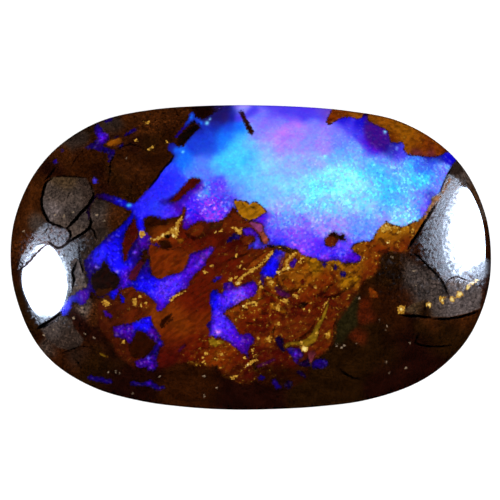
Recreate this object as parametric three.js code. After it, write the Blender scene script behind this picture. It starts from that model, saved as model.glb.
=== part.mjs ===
// A polished boulder opal: one stone, cut as an oval cabochon with a domed face and a flat back.
// Millimetres, +Z up. The origin is the middle of the flat back, and +X runs along the stone.
import * as THREE from "three";
import { mergeVertices } from "three/addons/utils/BufferGeometryUtils.js";

// Driving dimensions
const LENGTH = 22; // end to end, along X
const WIDTH = 13.95; // side to side, along Y
const THICKNESS = 4.4; // flat back to the crown of the dome
const GIRDLE_TOP = 1.6; // height at which the upright edge gives way to the dome
const GIRDLE_EASE = 0.28; // height of the rounded arris just below that
const BACK_BEVEL = 0.45; // height of the bevel round the back
const BACK_SHARE = 0.95; // the flat back's outline, as a share of the girdle's
const DOME_HALF_SWEEP = THREE.MathUtils.degToRad(72); // of an ellipse, so the dome meets the edge at a slope

// The outline from above, anticlockwise from the right end. It is a little fuller at the shoulders on the +Y side.
const OUTLINE = [
  [11.0, 0.1], [10.72, 2.05], [9.82, 3.97], [8.43, 5.36], [6.62, 6.3], [4.56, 6.7], [2.5, 6.89], [0, 6.975],
  [-2.31, 6.94], [-4.37, 6.79], [-6.43, 6.4], [-7.95, 5.71], [-9.25, 4.67], [-10.22, 3.3], [-10.85, 1.6],
  [-11.0, -0.1], [-10.77, -1.74], [-10.04, -3.57], [-8.9, -4.94], [-7.11, -5.99], [-5.05, -6.57], [-2.99, -6.85],
  [-0.93, -6.97], [1.13, -6.945], [3.18, -6.82], [5.25, -6.54], [7.3, -5.89], [8.82, -4.94], [10.03, -3.57],
  [10.8, -1.74],
];

// Fineness of the facets
const SEGMENTS = 120; // round the outline
const DOME_RINGS = 18;
const ARRIS_RINGS = 3;
const WELD = 1e-4; // corners closer than this are one corner

// The plan: a smooth closed curve through the outline's points, drawn to the stone's exact length and width.
function planOutline() {
  const points = OUTLINE.map(([x, y]) => new THREE.Vector3(x, y, 0));
  const spaced = new THREE.CatmullRomCurve3(points, true, "catmullrom", 0.5).getSpacedPoints(SEGMENTS);
  const box = new THREE.Box3().setFromPoints(spaced);
  const size = box.getSize(new THREE.Vector3());
  const middle = box.getCenter(new THREE.Vector3());
  return spaced.map(
    ({ x, y }) => new THREE.Vector2(((x - middle.x) * LENGTH) / size.x, ((y - middle.y) * WIDTH) / size.y),
  );
}

// A point of the dome at an angle from the crown: x is a share of the plan outline, y a height.
function domePoint(angle) {
  const fall = (1 - Math.cos(angle)) / (1 - Math.cos(DOME_HALF_SWEEP));
  const share = Math.sin(angle) / Math.sin(DOME_HALF_SWEEP);
  return new THREE.Vector2(share, THICKNESS - (THICKNESS - GIRDLE_TOP) * fall);
}

// Half of the stone's section, from the middle of the back, round the edge and up to the crown.
function meridian() {
  const back = [new THREE.Vector2(0, 0), new THREE.Vector2(BACK_SHARE, 0), new THREE.Vector2(1, BACK_BEVEL)];
  const dome = [];
  for (let ring = DOME_RINGS - 1; ring >= 0; ring--) {
    dome.push(domePoint((DOME_HALF_SWEEP * ring) / DOME_RINGS));
  }
  const arris = new THREE.QuadraticBezierCurve(
    new THREE.Vector2(1, GIRDLE_TOP - GIRDLE_EASE),
    new THREE.Vector2(1, GIRDLE_TOP),
    dome.shift(),
  );
  return [...back, ...arris.getPoints(ARRIS_RINGS), ...dome];
}

// The section is turned about the upright axis, and each turned copy is stretched to reach the outline.
function stoneGeometry() {
  const section = meridian();
  const outline = planOutline();
  const turned = new THREE.LatheGeometry(section, SEGMENTS);
  turned.deleteAttribute("normal");
  turned.deleteAttribute("uv");
  const corners = turned.getAttribute("position");
  outline.forEach((reach, step) => {
    section.forEach((point, ring) => {
      corners.setXYZ(step * section.length + ring, reach.x * point.x, reach.y * point.x, point.y);
    });
  });
  const welded = mergeVertices(turned, WELD);
  welded.computeVertexNormals();
  return welded;
}

const polishedStone = new THREE.MeshStandardMaterial({
  color: 0x3a2414,
  roughness: 0.2,
  metalness: 0,
});

const boulderOpal = new THREE.Group();
const stone = new THREE.Mesh(stoneGeometry(), polishedStone);
stone.name = "stone";
boulderOpal.add(stone);

export default boulderOpal;
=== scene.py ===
# Polished boulder opal: an oval cabochon of dark ironstone with a window of blue opal, lit as a gem on white.
import math

import bmesh
import bpy
import numpy as np
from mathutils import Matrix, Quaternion, Vector, noise


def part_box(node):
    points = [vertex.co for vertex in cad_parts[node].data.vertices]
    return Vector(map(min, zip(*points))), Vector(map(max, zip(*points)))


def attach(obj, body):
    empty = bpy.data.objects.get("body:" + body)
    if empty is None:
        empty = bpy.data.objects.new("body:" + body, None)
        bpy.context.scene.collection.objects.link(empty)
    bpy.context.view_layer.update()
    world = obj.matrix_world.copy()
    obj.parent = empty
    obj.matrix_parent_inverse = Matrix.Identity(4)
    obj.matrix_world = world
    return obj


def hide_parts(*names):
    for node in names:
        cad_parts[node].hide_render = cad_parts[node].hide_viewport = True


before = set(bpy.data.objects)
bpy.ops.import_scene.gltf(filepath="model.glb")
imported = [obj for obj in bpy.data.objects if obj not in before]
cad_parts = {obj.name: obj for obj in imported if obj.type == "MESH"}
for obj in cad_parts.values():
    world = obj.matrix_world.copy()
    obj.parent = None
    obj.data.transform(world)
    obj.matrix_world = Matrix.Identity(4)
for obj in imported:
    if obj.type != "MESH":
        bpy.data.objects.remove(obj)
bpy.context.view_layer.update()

MM = 0.001

# The cut of the stone
STONE_LOW, STONE_HIGH = (Vector(corner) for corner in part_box("stone"))
LENGTH, WIDTH, THICKNESS = STONE_HIGH - STONE_LOW
GIRDLE_TOP = 1.6 * MM  # height at which the upright edge gives way to the dome
GIRDLE_EASE = 0.28 * MM  # height of the rounded arris just below that
BACK_BEVEL = 0.45 * MM  # height of the bevel round the back
BACK_SHARE = 0.95  # the flat back's outline, as a share of the girdle's
DOME_HALF_SWEEP = math.radians(72)  # of an ellipse
DOME_SWEEP_SHARE = 17 / 18  # of that sweep, as far as the arris
DOME_SHARE = math.sin(DOME_HALF_SWEEP * DOME_SWEEP_SHARE) / math.sin(DOME_HALF_SWEEP)  # of the outline
GROUND_EDGE_EASE = 0.05 * MM  # rounding of the bevel's own edges

# The stone's outline from above in millimetres, anticlockwise from the right end
OUTLINE = [
    (11.0, 0.1), (10.72, 2.05), (9.82, 3.97), (8.43, 5.36), (6.62, 6.3), (4.56, 6.7), (2.5, 6.89),
    (0, 6.975), (-2.31, 6.94), (-4.37, 6.79), (-6.43, 6.4), (-7.95, 5.71), (-9.25, 4.67), (-10.22, 3.3),
    (-10.85, 1.6), (-11.0, -0.1), (-10.77, -1.74), (-10.04, -3.57), (-8.9, -4.94), (-7.11, -5.99),
    (-5.05, -6.57), (-2.99, -6.85), (-0.93, -6.97), (1.13, -6.945), (3.18, -6.82), (5.25, -6.54),
    (7.3, -5.89), (8.82, -4.94), (10.03, -3.57), (10.8, -1.74),
]

# Fineness of the mesh
OUTLINE_STEPS = 40
CELLS_ALONG = 356
CELLS_ACROSS = 224
GRID_DIGITS = 6
ARRIS_STEPS = 5
GIRDLE_STEPS = 4
QUAD = 4  # corners of a face of the smooth skin

# The photograph: 500 pixels each way, looking straight down on the face
PHOTO_SIZE = 500
STONE_MIDDLE_PIXEL = (250.8, 257.45)
STONE_LENGTH_PIXELS = 481.2
PIXEL = LENGTH / STONE_LENGTH_PIXELS
LENS = 300
SENSOR = 36
CAMERA_HEIGHT = PHOTO_SIZE * PIXEL * LENS / SENSOR
CAMERA_X = (PHOTO_SIZE / 2 - STONE_MIDDLE_PIXEL[0]) * PIXEL
CAMERA_Y = (STONE_MIDDLE_PIXEL[1] - PHOTO_SIZE / 2) * PIXEL

# How the markings are laid on
FAR = 6.0  # pixels past which a distance isn't worked out
HALF_PIXEL = 0.5  # by which a marking's edge is softened
PATCH_SOFTNESS = 3  # pixels to either side of a soft patch's edge
FAINTEST = 1e-12  # of a wash, so that no place is left without one
STROKE_END = 0.3  # of a stroke's width
CLOUD_SIZE = 0.9 * MM
CLOUD_AMOUNT = 5  # pixels
CLOUD_SEED = 1  # not 0, which would draw other clouds in each run
SEAM_DEPTH = 0.75 * MM  # how far opal and rust run down over the stone's edge
SEAM_WANDER = 0.22 * MM
SEAM_WAVE = 17  # pixels
TILE_COARSENESS = 0.65  # of the grain of the paler tiles
CRACK_DEPTH = 0.006 * MM
CRACK_FULL_WIDTH = 1.5  # pixels
CRACK_LIP = 1  # pixels of dark edge before the groove

# Sizes of the grain in the finishes, in millimetres
FINE_EDGE = 0.1
BROAD_EDGE = 0.35
IRONSTONE_CLOUD = 0.7
IRONSTONE_GRIT = 0.12
IRONSTONE_DUST = 0.09
IRONSTONE_HOLLOW = 0.17
RUST_STREAK = 0.2
RUST_GRAIN = 0.12
RUST_BLOTCH = 0.3
RUST_MOTTLE = 0.26
OPAL_CLOUD = 0.5
OPAL_FLICKER = 0.16
OPAL_SPARK = 0.1
OPAL_THIN_SPOT = 0.17
GOLD_CREST = 0.1
HAZE_PATCH = 0.16
HAZE_PIT = 0.15
HAZE_GRIT = 0.12

# Strengths in the finishes
FINE_EDGE_WANDER = 0.15  # millimetres
BROAD_EDGE_WANDER = 0.3  # millimetres
STREAK_TURN = math.radians(36)
STREAK_STRETCH = (2.6, 1, 1)
MOTTLE_STRENGTH = 0.35
HAZE_RAGGEDNESS = 0.9
GRIT_RELIEF = 0.01 * MM
OPAL_LEVEL = (0.88, 0.87, 0.97)
OPAL_CLOUD_TINT = (1.1, 0.9, 0.1)
OPAL_FLICKER_TINT = (1.0, 0.8, 0.15)
OPAL_FLASH_GAIN = (0.7, 0.5, 0.2)
OPAL_FLASH_GLOW = (0.04, 0.03, 0.02)
POLISH_ROUGHNESS = 0.07
OPAL_ROUGHNESS = 0.09
GROUND_ROUGHNESS = 0.6
COAT_ROUGHNESS = 0.035
STONE_IOR = 1.5
STONE_SPECULAR = 0.4

# The studio
FLOOR_RADIUS = 0.6
FLOOR_SIDES = 64
FLOOR_WHITE = (0.92, 0.92, 0.92, 1)
FLOOR_GLOW = 0.45
WHITE = (1, 1, 1, 1)
BACKDROP_STRENGTH = 1.15
CLIP_NEAR = 0.01
CLIP_FAR = 2
SOFTBOX_DISTANCE = 0.2
SOFTBOX_RADIANCE = 48
SOFTBOX_COLOUR = (0.62, 0.76, 1.0)

# Softboxes: where they stand and how far they are tilted, in degrees, and their size in metres
LEFT_SOFTBOX = {"azimuth": 190.3, "elevation": 28.5, "tilt": -77, "length": 0.132, "breadth": 0.081}
RIGHT_SOFTBOX = {"azimuth": 9.6, "elevation": 18.9, "tilt": -73, "length": 0.18, "breadth": 0.112}

# Colours of the opal, as red, green and blue from 0 to 255
ICE = (144, 249, 254)
AQUA = (126, 222, 252)
CYAN = (70, 202, 254)
SKY = (114, 182, 252)
POWDER = (146, 180, 253)
CORNFLOWER = (106, 142, 252)
PERIWINKLE = (122, 122, 251)
LAVENDER = (147, 138, 253)
ORCHID = (180, 124, 253)
AZURE = (18, 110, 251)
LAPIS = (44, 62, 251)
COBALT = (24, 62, 211)
ULTRAMARINE = (40, 32, 248)
PURE_BLUE = (22, 6, 250)
DEEP_BLUE = (14, 2, 192)
IRIS = (74, 32, 250)
HEATHER = (98, 72, 252)
VIOLET = (126, 62, 249)
ROYAL = (74, 55, 231)
STEEL = (66, 66, 198)
GRAPE = (80, 8, 212)
AMETHYST = (68, 4, 160)
PLUM = (60, 12, 130)
INK = (32, 3, 118)
MIDNIGHT = (39, 28, 96)
DUSK = (30, 2, 56)
MAUVE = (118, 78, 187)
NAVY = (24, 28, 146)
NIGHT = (28, 20, 98)
BLUEBELL = (82, 128, 252)
LARKSPUR = (58, 104, 238)
GLACIER = (116, 240, 252)
PALE_SKY = (134, 206, 252)

# Colours of the fragments and of the ironstone
RUST = (112, 38, 2)
TAN_RUST = (120, 48, 3)
RUSSET = (92, 19, 2)
SIENNA = (92, 28, 3)
DULL_RUST = (68, 20, 4)
MAROON = (72, 10, 4)
TAWNY = (138, 72, 4)
OCHRE = (142, 80, 5)
GOLDEN = (166, 106, 5)
CHOCOLATE = (40, 11, 1)
UMBER = (25, 11, 8)
BLACK_BROWN = (14, 6, 3)
OLIVE = (31, 14, 2)
EARTH = (41, 15, 2)
BARK = (57, 25, 5)
SOOT = (26, 6, 3)
PLUM_BROWN = (74, 12, 38)
ROSE = (134, 54, 112)
CLAY = (158, 72, 56)
SAND = (168, 118, 78)
MULBERRY = (110, 40, 54)
AUBERGINE = (70, 10, 62)
OLIVE_GOLD = (132, 98, 12)
OLIVE_GREEN = (31, 25, 8)
TAUPE = (74, 61, 54)
DARK_TAUPE = (46, 34, 28)
DRAB = (62, 52, 48)
FAWN = (64, 47, 30)
PALE_TAUPE_SHEEN = (90, 79, 77)

# Colours of specks, gold, painted glints, pits and cracks
SPECK_GREY = (140, 120, 98)
MOTTLE_GOLD = (144, 84, 8)
FLECK_GOLD = (214, 164, 50)
OLD_GOLD = (140, 88, 12)
BRIGHT_GOLD = (208, 160, 60)
PAINTED_GLINT_GOLD = (236, 212, 132)
PIT_RED = (46, 8, 2)
CRACK_BLACK = (8, 5, 4)

# All markings below are placed in pixels of the photograph, and their outlines were chosen one by one.

# Opal washes: the places of each colour, with its reach
OPAL_WASHES = {
    MIDNIGHT: [(208, 114, 7), (221, 114, 6)],
    NAVY: [
        (214, 124, 7), (232, 114, 6), (200, 132, 5), (171, 147, 4), (173, 157, 4), (394, 148, 5),
        (430, 158, 5), (440, 157, 5),
    ],
    ROYAL: [
        (240, 117, 4), (252, 112, 5), (230, 199, 6), (284, 111, 7), (296, 112, 7), (308, 114, 7),
        (320, 115, 6), (271, 109, 8), (346, 125, 8), (360, 132, 6), (400, 156, 6), (257, 241, 5),
        (95, 180, 4),
    ],
    LAVENDER: [
        (242, 108, 6), (258, 134, 8), (301, 140, 12), (321, 136, 12), (341, 222, 11), (320, 225, 11),
    ],
    COBALT: [(229, 127, 6), (205, 139, 11), (191, 148, 7), (190, 118, 5)],
    AZURE: [(238, 127, 5), (225, 138, 10), (181, 155, 6), (184, 163, 7), (280, 243, 4)],
    CYAN: [
        (240, 150, 14), (242, 170, 14), (220, 163, 7), (217, 172, 5), (410, 167, 6), (420, 180, 10),
        (376, 172, 8), (391, 192, 14),
    ],
    BLUEBELL: [(203, 164, 10), (206, 179, 7), (193, 173, 7)],
    LAPIS: [(170, 170, 8), (178, 188, 9), (158, 205, 8)],
    ULTRAMARINE: [(165, 182, 9), (150, 196, 10), (144, 210, 8), (98, 255, 7)],
    IRIS: [
        (192, 206, 9), (166, 211, 6), (319, 246, 8), (334, 256, 6), (163, 291, 9), (176, 285, 8),
        (227, 297, 6), (224, 323, 9),
    ],
    AMETHYST: [
        (177, 206, 5), (184, 223, 4), (358, 258, 4), (83, 296, 5), (184, 285, 4), (207, 252, 7),
        (147, 240, 5), (228, 285, 4), (293, 263, 5), (246, 342, 7), (120, 332, 6), (128, 333, 5),
        (155, 336, 6), (147, 362, 6),
    ],
    DUSK: [
        (172, 202, 4), (366, 114, 4), (247, 280, 4), (305, 363, 4), (280, 342, 4), (289, 385, 4),
        (92, 203, 7), (116, 137, 5),
    ],
    INK: [
        (182, 196, 4), (379, 138, 6), (385, 147, 5), (106, 238, 5), (91, 256, 4), (89, 267, 6),
        (90, 284, 6), (145, 268, 6), (135, 251, 7), (210, 325, 4), (324, 264, 4), (335, 268, 4),
        (343, 274, 4), (160, 344, 4), (155, 352, 5), (235, 237, 4), (318, 364, 5), (276, 385, 5),
        (100, 378, 6), (148, 384, 7), (97, 128, 5), (98, 146, 5), (112, 151, 5), (55, 161, 6),
        (108, 198, 5), (183, 130, 6), (131, 132, 7), (108, 120, 5),
    ],
    VIOLET: [(212, 208, 9), (291, 238, 8), (306, 245, 8), (326, 257, 4), (240, 297, 6)],
    GRAPE: [
        (200, 217, 5), (372, 146, 8), (265, 217, 5), (352, 256, 5), (128, 273, 6), (187, 276, 7),
        (195, 265, 7), (162, 304, 6), (250, 290, 5), (233, 336, 6), (250, 231, 5), (102, 136, 4),
    ],
    CORNFLOWER: [
        (202, 190, 7), (238, 190, 9), (341, 143, 8), (443, 170, 6), (421, 197, 7), (437, 185, 7),
        (381, 161, 8), (346, 151, 6), (378, 224, 6), (361, 226, 10), (285, 219, 9),
    ],
    HEATHER: [(217, 185, 9), (424, 206, 6), (277, 236, 8), (344, 248, 8), (310, 236, 7)],
    SKY: [
        (255, 186, 12), (250, 146, 6), (400, 170, 10), (334, 158, 6), (361, 160, 10), (342, 160, 8),
        (410, 200, 11),
    ],
    AQUA: [(266, 171, 14), (300, 195, 7), (322, 206, 9), (370, 190, 9)],
    POWDER: [(262, 152, 10), (290, 161, 12), (311, 165, 12), (280, 203, 9), (318, 216, 8), (381, 214, 9)],
    PERIWINKLE: [
        (265, 119, 10), (315, 124, 6), (281, 121, 7), (338, 134, 8), (301, 225, 11), (272, 220, 6),
    ],
    MAUVE: [(324, 110, 6), (280, 259, 3)],
    ORCHID: [(293, 125, 6), (283, 139, 14)],
    DEEP_BLUE: [
        (360, 125, 5), (345, 120, 5), (449, 157, 5), (131, 217, 6), (118, 235, 8), (75, 300, 5),
        (141, 276, 6), (213, 295, 4), (275, 253, 4), (120, 202, 5),
    ],
    PLUM: [(375, 131, 8), (386, 138, 7), (153, 247, 4), (262, 281, 3), (296, 353, 6)],
    STEEL: [(390, 152, 6), (431, 198, 5)],
    LARKSPUR: [(421, 165, 6), (432, 164, 6), (408, 158, 4)],
    ICE: [(345, 177, 15), (347, 191, 15)],
    GLACIER: [(321, 186, 14)],
    PALE_SKY: [
        (300, 178, 8), (290, 186, 11), (282, 190, 7), (300, 203, 10), (346, 208, 11), (366, 206, 11),
        (401, 213, 8),
    ],
    PURE_BLUE: [
        (112, 248, 9), (68, 307, 5), (119, 263, 8), (148, 285, 9), (140, 222, 5), (215, 303, 5),
        (145, 322, 6), (268, 265, 6),
    ],
}

# Small bright flashes in the opal: the places of each colour, with their radius
OPAL_FLASHES = {
    AQUA: [(207, 123, 1.9), (183, 152, 1.3), (385, 132, 1.6)],
    SKY: [(210, 119, 1.2)],
    AZURE: [(201, 123, 1.6), (176, 150, 2.4), (191, 117, 1.8)],
    CYAN: [(129, 205, 2.4)],
    CORNFLOWER: [(397, 148, 1.8), (138, 320, 2)],
    ICE: [(325, 157, 2), (374, 165, 1.5)],
    LAVENDER: [(96, 267, 1.2), (99, 267.5, 1), (117, 272, 2)],
    LAPIS: [(120, 201, 1.6)],
    IRIS: [(101, 136, 2), (160, 343, 1.8)],
    GRAPE: [(55, 161, 1.8), (295, 354, 2.5), (149, 383, 2)],
    ORCHID: [(218, 332, 3.4)],
    HEATHER: [(148, 358, 1.8), (95, 180, 1.5), (166, 285, 2), (235, 299, 3)],
    MAUVE: [(117, 335, 1.8)],
    VIOLET: [(135, 252, 1.8)],
}

# Soft-edged patches in the opal: colour and outline
OPAL_PATCHES = {
    "violet patch": (HEATHER, [
        (210, 184), (214, 181), (220, 180), (225, 182), (226, 187), (222, 191), (215, 191), (211, 188),
    ]),
    "sliver shade": (AMETHYST, [
        (180, 199), (184, 193), (190, 187), (197, 181), (202, 180), (203, 186), (198, 190), (190, 194),
        (184, 199),
    ]),
    "sliver tail": (INK, [(160, 201), (166, 199.5), (173, 198), (174, 202), (168, 203.5), (164, 204)]),
    "navy corner": (NIGHT, [
        (206, 117), (214, 111), (222, 107), (229, 103), (231, 110), (227, 115), (219, 118), (210, 120),
    ]),
    "plum corner": (PLUM, [
        (366, 121), (376, 124), (384, 128), (389, 135), (390, 142), (385, 147), (377, 148), (370, 144),
        (367, 137), (364, 129),
    ]),
    "blue foot": (ULTRAMARINE, [(271, 240), (278, 239), (286, 242), (288, 245), (280, 245.5), (272, 244)]),
    "grape notch": (GRAPE, [(349, 255), (355, 252), (362, 256), (361, 262), (354, 265), (347, 262)]),
    "band streak": (VIOLET, [
        (196, 265), (202, 258), (207, 253), (211, 248.5), (213, 250), (209, 256), (204, 261), (199, 267),
    ]),
}

# How far the opal breaks into small flashes: the places of each strength, with its reach
PINFIRE = {
    0.22: [(285, 135, 45)],
    0.25: [(225, 135, 40)],
    0.3: [(265, 175, 30)],
    0.45: [(170, 190, 25)],
    0.5: [(345, 185, 40)],
    0.6: [(330, 215, 30), (375, 140, 18)],
    0.75: [(410, 180, 30)],
    0.8: [(120, 250, 25), (165, 285, 25)],
    0.9: [(425, 210, 15), (230, 310, 25), (145, 340, 25), (100, 140, 25)],
    0.95: [(300, 235, 25)],
    1.0: [(340, 248, 18), (270, 222, 10)],
    1.6: [(205, 207, 20)],
}

# How broadly painted shade darkens the opal towards its edges: the places of each strength, with its reach
EDGE_SHADE = {
    0.0: [(250, 150, 35), (320, 150, 40), (385, 190, 40)],
    0.1: [(300, 215, 30), (190, 180, 22)],
    0.3: [(335, 245, 16), (205, 125, 14), (210, 205, 14)],
    0.4: [(150, 205, 20)],
    0.5: [(72, 304, 10)],
    0.8: [(120, 250, 20), (165, 285, 25), (235, 310, 25), (270, 262, 16)],
    1.0: [(145, 345, 25), (290, 360, 25), (100, 150, 30), (110, 380, 30), (340, 268, 14), (250, 238, 12)],
}

# The window of opal, past the stone's edge where it runs out over it
OPAL_WINDOW = [
    (226, 90), (400, 85), (480, 130), (466, 150), (455, 161), (452, 165), (446, 177), (443, 184),
    (441, 190), (437, 196), (424, 216), (408, 228), (380, 240), (360, 262), (300, 264), (240, 262),
    (190, 268), (140, 290), (131, 286), (124, 287), (117, 289), (108, 296), (98, 297), (91, 291), (89, 298),
    (85, 304), (81, 306), (77, 302), (73, 302), (71, 308), (67, 315), (62, 316), (60, 311), (63, 304),
    (68, 298), (80, 290), (87, 287), (88, 281), (87, 274), (84, 267), (84, 261), (89, 255), (95, 248.5),
    (101, 243), (109, 235), (118, 228), (126, 221), (131, 214.5), (132, 211), (127, 209), (121, 206.5),
    (114, 203.5), (106, 200.5), (98, 199), (97, 194), (103, 193), (117, 197), (124, 199.5), (130, 203),
    (135, 203), (143, 195), (147, 190), (157, 178), (160, 172.5), (165, 166.5), (171, 160.5), (174, 156),
    (172, 153), (167, 150), (169, 144), (174, 143), (179, 147), (184, 145), (188, 140), (193, 134),
    (199, 128), (197, 123), (194, 119.5), (190, 122.5), (186, 127.5), (181, 133), (177, 137.5), (175, 137),
    (178, 132), (183, 127), (188, 120), (189.5, 114), (191.5, 112), (194, 113.5), (195, 117), (203, 119),
    (209, 116), (214, 112), (221, 109),
]

# Blots of opal in the ironstone
OPAL_BLOTS = {
    "upper left vein, head": [
        (94, 127), (98, 124), (102, 128), (103, 132), (108, 134), (109, 138), (106, 142), (103, 145),
        (98, 146), (94, 145), (93, 142), (98, 139), (95, 133),
    ],
    "upper left vein, foot": [
        (93, 143), (99, 144), (105, 147), (110, 149), (115, 150), (115, 154), (112, 158), (109, 163),
        (108, 158), (109, 154), (97, 150), (92, 148), (87, 150), (85, 147),
    ],
    "edge blot": [(104, 122), (108, 119), (113, 117), (112, 121), (107, 123)],
    "ochre halo": [(112, 138), (117, 135), (122, 136), (118, 138), (114, 139)],
    "ochre foot": [(118, 146), (122, 143), (125, 145), (121, 149)],
    "streak": [(124, 136), (128, 132), (132, 128.5), (138, 128), (135, 132), (129, 135)],
    "dot by the edge": [(52.5, 162), (54, 159), (57, 159.5), (58, 163), (55, 165)],
    "faint dot": [(60, 150), (62, 148), (64, 150), (62, 152.5)],
    "branch": [
        (98, 195), (94, 200), (90, 206), (89.5, 212), (90, 219), (88, 220), (87, 212), (88, 205), (92, 199),
        (96, 194),
    ],
    "dot by the tile": [(92.5, 180), (94, 177), (97, 178), (98, 182), (95, 184), (93, 183)],
    "bottom left": [
        (87, 376.5), (91, 374), (95, 377), (102, 377), (108, 379), (112, 380), (112, 383), (108, 384),
        (100, 382), (93, 381), (88, 379),
    ],
    "bottom": [
        (129, 382), (134, 381), (141, 382.5), (146, 381), (151, 380), (159, 386), (164, 385.5), (165, 388),
        (160, 390), (155, 390), (151, 387), (145, 386), (131, 385),
    ],
}

# Pockets of opal between the rust fragments
OPAL_POCKETS = {
    "blue band": [
        (121, 283), (126, 278), (130, 281), (136, 281), (138, 276), (141, 268), (145, 262), (149, 263),
        (151, 268), (152, 275), (156, 278), (162, 279), (168, 276), (174, 274), (180, 273), (184, 270),
        (187, 264), (189, 258), (190, 254), (202, 250), (207, 248), (211, 246), (214, 247), (213, 251),
        (210, 256), (206, 260), (205, 265), (201, 269), (196, 273), (190, 281), (188, 287), (183, 290),
        (178, 292), (174, 296), (171, 298), (169, 303), (161, 311), (158, 311), (156, 308), (157, 304),
        (150, 297), (146, 294), (142, 292), (137, 291), (131, 285), (128, 287), (122, 289), (120, 286),
    ],
    "azure finger": [
        (135, 206), (145, 206), (145, 216), (143, 228), (140, 230.5), (137.5, 228), (136, 222), (135, 215),
    ],
    "dark violet": [
        (144, 239), (148, 233.5), (151, 238), (150, 243), (153, 247), (150, 251), (146, 249), (143, 252),
        (140, 258), (136, 263), (131, 267), (126, 268), (127, 260), (129, 252), (132, 247),
    ],
    "rust notch": [(108, 294), (112, 290.5), (117, 287), (119.5, 290), (117, 295), (114, 300), (110, 298)],
    "comma": [
        (103, 311), (106, 310), (108, 313), (111.5, 315), (112, 317.5), (109, 318), (106, 316), (104, 314),
    ],
    "short blade": [(119, 294), (121, 293), (124, 299), (124, 303), (121.5, 303)],
    "by the clast": [
        (113, 327), (120, 325), (128, 324), (135, 322), (140, 319), (146, 317), (151, 316), (152, 320),
        (153, 325), (159, 333), (160, 338), (163, 342), (163, 345), (160, 348), (159, 352), (157, 357),
        (156, 361), (158, 364), (156, 369), (152, 372), (148, 371), (147, 367), (141, 368), (136, 366),
        (135, 362), (140, 359), (146, 357), (143, 345), (140, 335), (134, 335), (133, 342), (129, 343),
        (125, 339), (120, 337), (115, 337),
    ],
    "middle": [
        (224, 284), (228, 282), (232, 282), (234, 287), (238, 288), (241, 285), (246, 283), (252, 281),
        (256, 282), (257, 287), (256, 293), (252, 297), (247, 299), (241, 301), (237, 304), (229, 308),
        (226, 310), (224, 314), (230, 320), (236, 328), (238, 332), (240, 335), (245, 334), (249, 333),
        (252, 335), (254, 339), (253, 343), (250, 346), (248, 350), (247, 354), (248, 358), (245, 354),
        (242, 353), (239, 351), (233, 345), (229, 342), (224, 340), (220, 337), (217, 338), (212, 336),
        (209, 335), (210, 330), (207, 327), (207, 324), (211, 320), (212, 315), (211, 308), (210, 300),
        (210, 293), (213, 290), (217, 290), (219, 293), (222, 294), (224, 290),
    ],
    "purple fringe": [(145, 246), (150, 243.5), (156, 243), (159, 246), (154, 250), (150, 253), (147, 250)],
    "slot": [(213, 280.5), (216, 278), (221, 276), (222, 277), (218, 280.5), (214, 282)],
    "blue blade": [
        (275, 249), (280, 250), (285, 252), (284, 257), (282, 262), (280, 268), (277, 272), (275, 276),
        (271, 278), (268, 276), (264, 279), (263, 283), (266, 286), (262, 285), (260.5, 279), (260, 273),
        (262, 269), (266, 264), (270, 258), (273, 253),
    ],
    "small blade": [(290, 263), (293, 260), (296, 258), (297, 261), (295, 265), (293, 268), (290, 266)],
    "under the flake": [
        (242, 229), (246, 227), (250.5, 228), (255, 231.5), (259, 236), (261, 241), (264, 244.5),
        (268, 246), (264, 248), (258, 249), (252, 248), (248, 249), (249, 246), (253, 242), (256, 240),
        (255, 236), (251, 235), (246, 236), (243, 234),
    ],
    "spot": [
        (231, 237), (234, 234), (239, 234), (241, 236), (238, 239), (233, 240), (228, 242.5), (226, 241),
    ],
    "bead gap left": [(322, 263), (325, 261.5), (327, 265), (325, 267.5), (322.5, 266)],
    "bead gap right": [(333, 268), (335, 265), (338, 267), (336, 271), (334, 270)],
    "bead gap low": [(340, 274), (342, 271), (346, 273), (345, 277), (341, 277)],
    "below the gold": [
        (287, 348), (293, 347), (299, 349), (302, 352), (304, 355), (301, 358), (298, 359), (299, 363),
        (304, 361), (308, 358), (309, 362), (311, 366), (306, 367), (301, 366), (297, 363), (294, 362),
        (292, 357), (288, 352),
    ],
    "blue corner": [
        (311, 365), (315, 360), (320, 358.5), (325, 359.5), (328, 361), (328, 365), (324, 368), (318, 369),
        (313, 368),
    ],
    "thin blade": [
        (275, 338), (279, 336), (283, 339), (284, 343), (283, 347), (286, 350), (283, 352), (280, 349),
        (277, 345),
    ],
    "low left spot": [(258, 377), (261, 375), (265, 377), (263, 380), (259, 380)],
    "low middle spot": [(271, 380), (275, 379), (278, 383), (281, 386), (280, 389), (276, 389), (273, 384)],
    "low right spot": [(285, 383), (288, 380), (292, 382), (293, 386), (289, 389), (285, 387)],
    "low dusk": [(296, 372), (300, 370.5), (305, 374), (306, 377), (301, 376.5)],
}

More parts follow.
